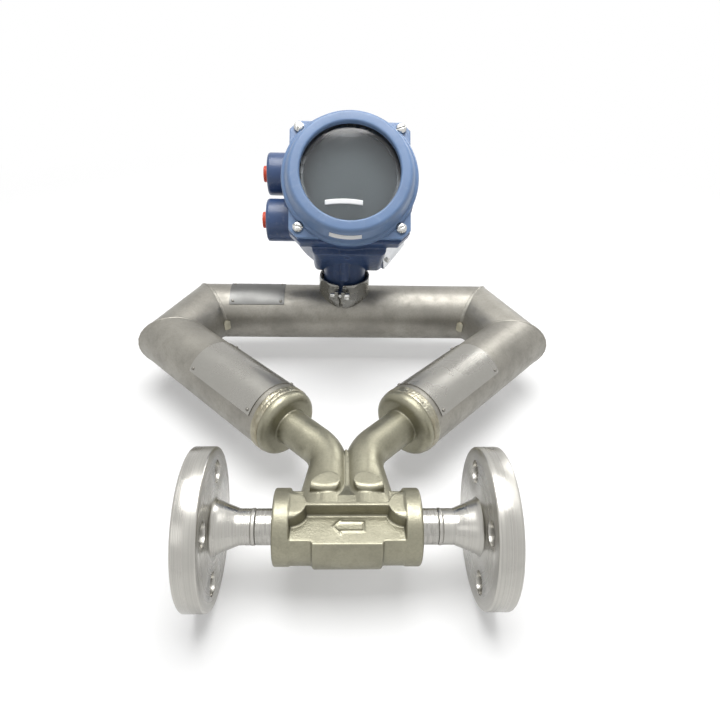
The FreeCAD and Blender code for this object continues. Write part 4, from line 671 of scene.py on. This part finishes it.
class METER_OT_neck_welds(bpy.types.Operator):
    """Rippled welds between the flange necks and the manifold"""
    bl_idname = "meter.neck_welds"
    bl_label = "Neck welds"

    def execute(self, context):
        for end, side, seed in (("inlet", 1, 0.4), ("outlet", -1, 1.9)):
            centre = Vector((MIDDLE_X + side * NECK_WELD_REACH, 0, 0))
            ring = ring_bead(centre, (1, 0, 0), NECK_RADIUS, 2.4 * MM, 0.2 * MM, sizes().neck_ripple, seed, 220)
            bead_piece(f"{end}_neck_bead", [ring], "sensor", "machined_steel", finish_of("machined_steel"))
            finish(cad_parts[f"{end}_neck_weld"], finish_of("machined_steel"))
        return {"FINISHED"}


class METER_OT_casing(bpy.types.Operator):
    """Blasted casing tubes"""
    bl_idname = "meter.casing"
    bl_label = "Casing tubes"

    def execute(self, context):
        for node in ("back_case_tube", "left_corner_wedge", "right_corner_wedge", "left_arm_tube",
                     "right_arm_tube"):
            finish(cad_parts[node], finish_of("case_steel"))
        return {"FINISHED"}


class METER_OT_casing_welds(bpy.types.Operator):
    """Beads at the caps and mitres, and the welded purge plugs"""
    bl_idname = "meter.casing_welds"
    bl_label = "Casing welds"

    def execute(self, context):
        for name, side, seed in (("left", -1, 0.0), ("right", 1, 2.3)):
            middle = arm_foot() + arm_direction(side) * CAP_WELD_REACH
            rings = [ring_bead(middle + arm_direction(side) * shift * MM, arm_direction(side), TUBE_RADIUS,
                               4.4 * MM, 0.7 * MM, sizes().cap_ripple, seed + shift, 420)
                     for shift in (-1.5, 1.5)]
            bead_piece(f"{name}_cap_bead", rings, "sensor", "weld_steel", finish_of("weld_steel"),
                       f"{name}_cap_weld")
            foot = arm_foot()
            second = Vector((MIDDLE_X + side * SECOND_MITRE_X, SECOND_MITRE_Y, 0))
            first = Vector((MIDDLE_X + side * FIRST_MITRE, BACK_Y, 0))
            end = Vector((MIDDLE_X, BACK_Y, 0))
            seams = []
            for before, corner, after in ((foot, second, first), (second, first, end)):
                seams.append(mitre_bead(corner, (corner - before).normalized(), (after - corner).normalized(),
                                        TUBE_RADIUS, 3.0 * MM, 0.5 * MM, sizes().mitre_ripple, seed, 420))
            bead_piece(f"{name}_mitre_beads", seams, "sensor", "weld_steel", finish_of("case_steel"),
                       f"{name}_mitre_welds")
            finish(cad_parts[f"{name}_purge_plug"], finish_of("weld_steel"))
        return {"FINISHED"}


class METER_OT_plates(bpy.types.Operator):
    """Bare plates on the casing, and their rivets"""
    bl_idname = "meter.plates"
    bl_label = "Plates"

    def execute(self, context):
        finish(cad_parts["name_plate"], finish_of("name_steel"))
        for node in ("left_tag_plate", "right_tag_plate"):
            finish(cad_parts[node], finish_of("plate_steel"))
        finish(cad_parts["plate_rivets"], finish_of("rivet_aluminium"), 60)
        return {"FINISHED"}


class METER_OT_stem(bpy.types.Operator):
    """Feedthrough boss, clamp and its screw"""
    bl_idname = "meter.stem"
    bl_label = "Stem and clamp"

    def execute(self, context):
        machined("feedthrough_boss", sizes().machined_edge, finish_of("case_steel"))
        skin = cast_skin("clamp_ring", sizes().clamp_grid, 2, 0.4)
        dress(skin, "sensor", "clamp_steel", finish_of("clamp_steel"), "clamp_ring")
        machined("clamp_screw", 0.15 * MM, finish_of("screw_steel"))
        finish(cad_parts["joint_seal"], finish_of("seal_rubber"))
        finish(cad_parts["feedthrough_header"], finish_of("header_glass"))
        finish(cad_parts["feedthrough_pins"], finish_of("pin_brass"))
        return {"FINISHED"}


class METER_OT_inner_tubes(bpy.types.Operator):
    """Flow tubes, brace bars, coils and magnets inside the casing"""
    bl_idname = "meter.inner_tubes"
    bl_label = "Flow tubes and coils"

    def execute(self, context):
        plain = ["upper_flow_tube", "lower_flow_tube", "left_brace_bar", "right_brace_bar", "temperature_sensor"]
        for place in ("drive", "left_pickoff", "right_pickoff"):
            plain += [f"{place}_coil_carrier", f"{place}_magnet_carrier"]
            finish(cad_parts[f"{place}_coil"], finish_of("coil_copper"))
            finish(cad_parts[f"{place}_magnet"], finish_of("magnet_steel"))
        for node in plain:
            finish(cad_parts[node], finish_of("tube_steel"))
        return {"FINISHED"}


class METER_OT_housing(bpy.types.Operator):
    """Painted cast housing"""
    bl_idname = "meter.housing"
    bl_label = "Housing"

    def execute(self, context):
        skin = cast_skin("housing", sizes().housing_grid, 2, 0.25)
        dress(skin, "head", "housing_paint", finish_of("housing_paint"), "housing")
        return {"FINISHED"}


class METER_OT_cover(bpy.types.Operator):
    """Painted cover with its window, screws and two bare strips"""
    bl_idname = "meter.cover"
    bl_label = "Cover and window"

    def execute(self, context):
        skin = cast_skin("cover", sizes().cover_grid, 2, 0.3)
        dress(skin, "head", "cover_paint", finish_of("cover_paint"), "cover")
        machined("cover_screws", 0.12 * MM, finish_of("screw_steel"))
        finish(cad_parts["cover_glass"], finish_of("window_glass"))
        finish(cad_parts["glass_gasket"], finish_of("seal_rubber"))
        finish(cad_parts["cover_seal"], finish_of("seal_rubber"))
        finish(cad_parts["glass_retainer"], finish_of("ring_aluminium"))
        self.strips()
        return {"FINISHED"}

    def strips(self):
        """Two thin strips: one bowed on the glass, one round the cover's sloping side."""
        place = head_place()
        thick = sizes().strip_thickness / MM

        def on_glass(u, v, level):
            return (-4.9 + 15.2 * u, -23.2 + 2.1 * v - 1.3 * u * u, 14.02 + thick * level)

        def on_side(u, v, level):
            height = 12.6 + 2.5 * v
            radius = 53.5 + (50.6 - 53.5) * (height - 8) / 9.5 + 0.02 + thick * level
            angle = math.radians(-94.0 + 14.5 * u)
            return (radius * math.cos(angle), radius * math.sin(angle), height)

        for name, spot in (("glass_strip", on_glass), ("cover_strip", on_side)):
            across, along = 4, 32
            vertices, faces = [], []
            for level in (0, 1):
                for i in range(along + 1):
                    for j in range(across + 1):
                        vertices.append(place @ (Vector(spot(2 * i / along - 1, 2 * j / across - 1, level)) * MM))
            row, sheet = across + 1, (along + 1) * (across + 1)
            for i in range(along):
                for j in range(across):
                    a = i * row + j
                    faces.append((a, a + row, a + row + 1, a + 1))
                    faces.append((a + sheet, a + sheet + 1, a + sheet + row + 1, a + sheet + row))
            rim = ([i * row for i in range(along + 1)] + [along * row + j for j in range(1, row)]
                   + [i * row + across for i in range(along - 1, -1, -1)] + [j for j in range(across - 1, 0, -1)])
            for a, b in zip(rim, rim[1:] + rim[:1]):
                faces.append((a, b, b + sheet, a + sheet))
            bead_piece(name, [(vertices, faces)], "head", "tag_aluminium", finish_of("strip"))


class METER_OT_plugs(bpy.types.Operator):
    """Red plugs in the conduit bosses"""
    bl_idname = "meter.plugs"
    bl_label = "Conduit plugs"

    def execute(self, context):
        for node in ("upper_conduit_plug", "lower_conduit_plug"):
            machined(node, 0.4 * MM, finish_of("plug_plastic"))
        return {"FINISHED"}


class METER_OT_electronics(bpy.types.Operator):
    """Display, boards and terminals behind the window"""
    bl_idname = "meter.electronics"
    bl_label = "Electronics"

    def execute(self, context):
        machined("display_module", 0.8 * MM, finish_of("display_plastic"))
        for node, slot in (("processor_board", "board_resin"), ("power_board", "board_resin"),
                           ("board_posts", "pin_brass"), ("terminal_block", "terminal_plastic"),
                           ("terminal_screws", "screw_steel")):
            finish(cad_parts[node], finish_of(slot))
        return {"FINISHED"}


class METER_OT_tag(bpy.types.Operator):
    """Bare tag on the housing and its screw"""
    bl_idname = "meter.tag"
    bl_label = "Housing tag"

    def execute(self, context):
        finish(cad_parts["housing_tag"], finish_of("tag_aluminium"))
        machined("tag_screw", 0.15 * MM, finish_of("screw_steel"))
        return {"FINISHED"}


class METER_OT_stage(bpy.types.Operator):
    """Pale floor, soft lamps and the camera at the photograph's angle"""
    bl_idname = "meter.stage"
    bl_label = "Stage"

    def execute(self, context):
        self.floor()
        self.lamps()
        self.world()
        self.camera()
        context.scene.view_settings.view_transform = "Standard"
        return {"FINISHED"}

    def floor(self):
        mesh = bpy.data.meshes.new("floor")
        low = cad_box[0].z
        mesh.from_pydata([(-40, -40, low), (40, -40, low), (40, 40, low), (-40, 40, low)], [], [(0, 1, 2, 3)])
        floor = link("floor", mesh)
        material, tree, place = start("matt white board")
        centre = (MIDDLE_X, 110 * MM, low)
        away = add(tree, "VectorMath", {0: place, 1: centre}, operation="DISTANCE").outputs["Value"]
        far = add(tree, "MapRange", {"Value": away, "From Min": 0.28, "From Max": 0.95},
                  interpolation_type="SMOOTHSTEP").outputs["Result"]
        far = add(tree, "Math", {0: far, 1: 0.35}, operation="MAXIMUM").outputs[0]
        far = add(tree, "Math", {0: far, 1: seen_directly(tree)}, operation="MULTIPLY").outputs[0]
        board = add(tree, "BsdfPrincipled", {"Base Color": (*finishes().floor, 1), "Roughness": 0.9,
                                             "Specular IOR Level": 0.0})
        backdrop = add(tree, "Emission", {"Color": (*finishes().floor, 1), "Strength": 1.0})
        mixed = add(tree, "MixShader", {0: far, 1: board.outputs[0], 2: backdrop.outputs[0]})
        add(tree, "OutputMaterial", {"Surface": mixed.outputs[0]})
        floor.data.materials.append(material)

    def lamps(self):
        """A broad lamp above, a weak one from the left front and a smaller one from behind."""
        target = Vector((MIDDLE_X, 120 * MM, 20 * MM))
        for name, spot, width, power in (("top_lamp", (-0.1, 0.2, 1.5), 1.1, 28),
                                         ("front_lamp", (-0.9, -1.2, 1.1), 0.7, 1),
                                         ("back_lamp", (0.9, 1.2, 0.8), 0.6, 6)):
            lamp = bpy.data.lights.new(name, "AREA")
            lamp.size = width
            lamp.energy = power
            piece = bpy.data.objects.new(name, lamp)
            bpy.context.scene.collection.objects.link(piece)
            piece.location = spot
            piece.rotation_euler = (target - Vector(spot)).to_track_quat("-Z", "Y").to_euler()

    def world(self):
        world = bpy.data.worlds.new("studio")
        bpy.context.scene.world = world
        world.use_nodes = True
        tree = world.node_tree
        tree.nodes.clear()
        strength = add(tree, "MapRange", {"Value": seen_directly(tree), "To Min": 0.16, "To Max": 1.0}).outputs[0]
        background = add(tree, "Background", {"Color": (1, 1, 1, 1), "Strength": strength})
        add(tree, "OutputWorld", {"Surface": background.outputs[0]})

    def camera(self):
        """Camera fitted to the photograph, which is square."""
        camera = bpy.data.cameras.new("camera")
        camera.sensor_width = 36
        camera.lens = 28.135
        camera.shift_x, camera.shift_y = 0.00964, -0.01207
        camera.clip_start, camera.clip_end = 0.01, 50
        right = Vector((0.9995, -0.0203, 0.0226)).normalized()
        view = Vector((0.0296, 0.8202, -0.5714)).normalized()
        up = right.cross(view).normalized()
        right = view.cross(up)
        place = Matrix((right, up, -view)).transposed().to_4x4()
        place.translation = (-0.10206, -0.21788, 0.28044)
        piece = bpy.data.objects.new("camera", camera)
        bpy.context.scene.collection.objects.link(piece)
        piece.matrix_world = place
        bpy.context.scene.camera = piece


OPERATORS = (METER_OT_manifold, METER_OT_flanges, METER_OT_neck_welds, METER_OT_casing, METER_OT_casing_welds,
             METER_OT_plates, METER_OT_stem, METER_OT_inner_tubes, METER_OT_housing, METER_OT_cover,
             METER_OT_plugs, METER_OT_electronics, METER_OT_tag, METER_OT_stage)


class METER_PT_panel(bpy.types.Panel):
    """Lists the meter's settings and its operators"""
    bl_idname = "METER_PT_panel"
    bl_label = "Flow meter"
    bl_space_type = "VIEW_3D"
    bl_region_type = "UI"
    bl_category = "Flow meter"

    def draw(self, context):
        for group in (context.scene.meter_sizes, context.scene.meter_finishes):
            for name in group.__annotations__:
                self.layout.prop(group, name)
        for operator in OPERATORS:
            self.layout.operator(operator.bl_idname)


def register():
    for group in (MeterSizes, MeterFinishes, *OPERATORS, METER_PT_panel):
        bpy.utils.register_class(group)
    bpy.types.Scene.meter_sizes = PointerProperty(type=MeterSizes)
    bpy.types.Scene.meter_finishes = PointerProperty(type=MeterFinishes)


def unregister():
    del bpy.types.Scene.meter_finishes
    del bpy.types.Scene.meter_sizes
    for group in (METER_PT_panel, *reversed(OPERATORS), MeterFinishes, MeterSizes):
        bpy.utils.unregister_class(group)


def main():
    register()
    for operator in OPERATORS:
        part, name = operator.bl_idname.split(".")
        getattr(getattr(bpy.ops, part), name)()


if __name__ == "__main__":
    main()
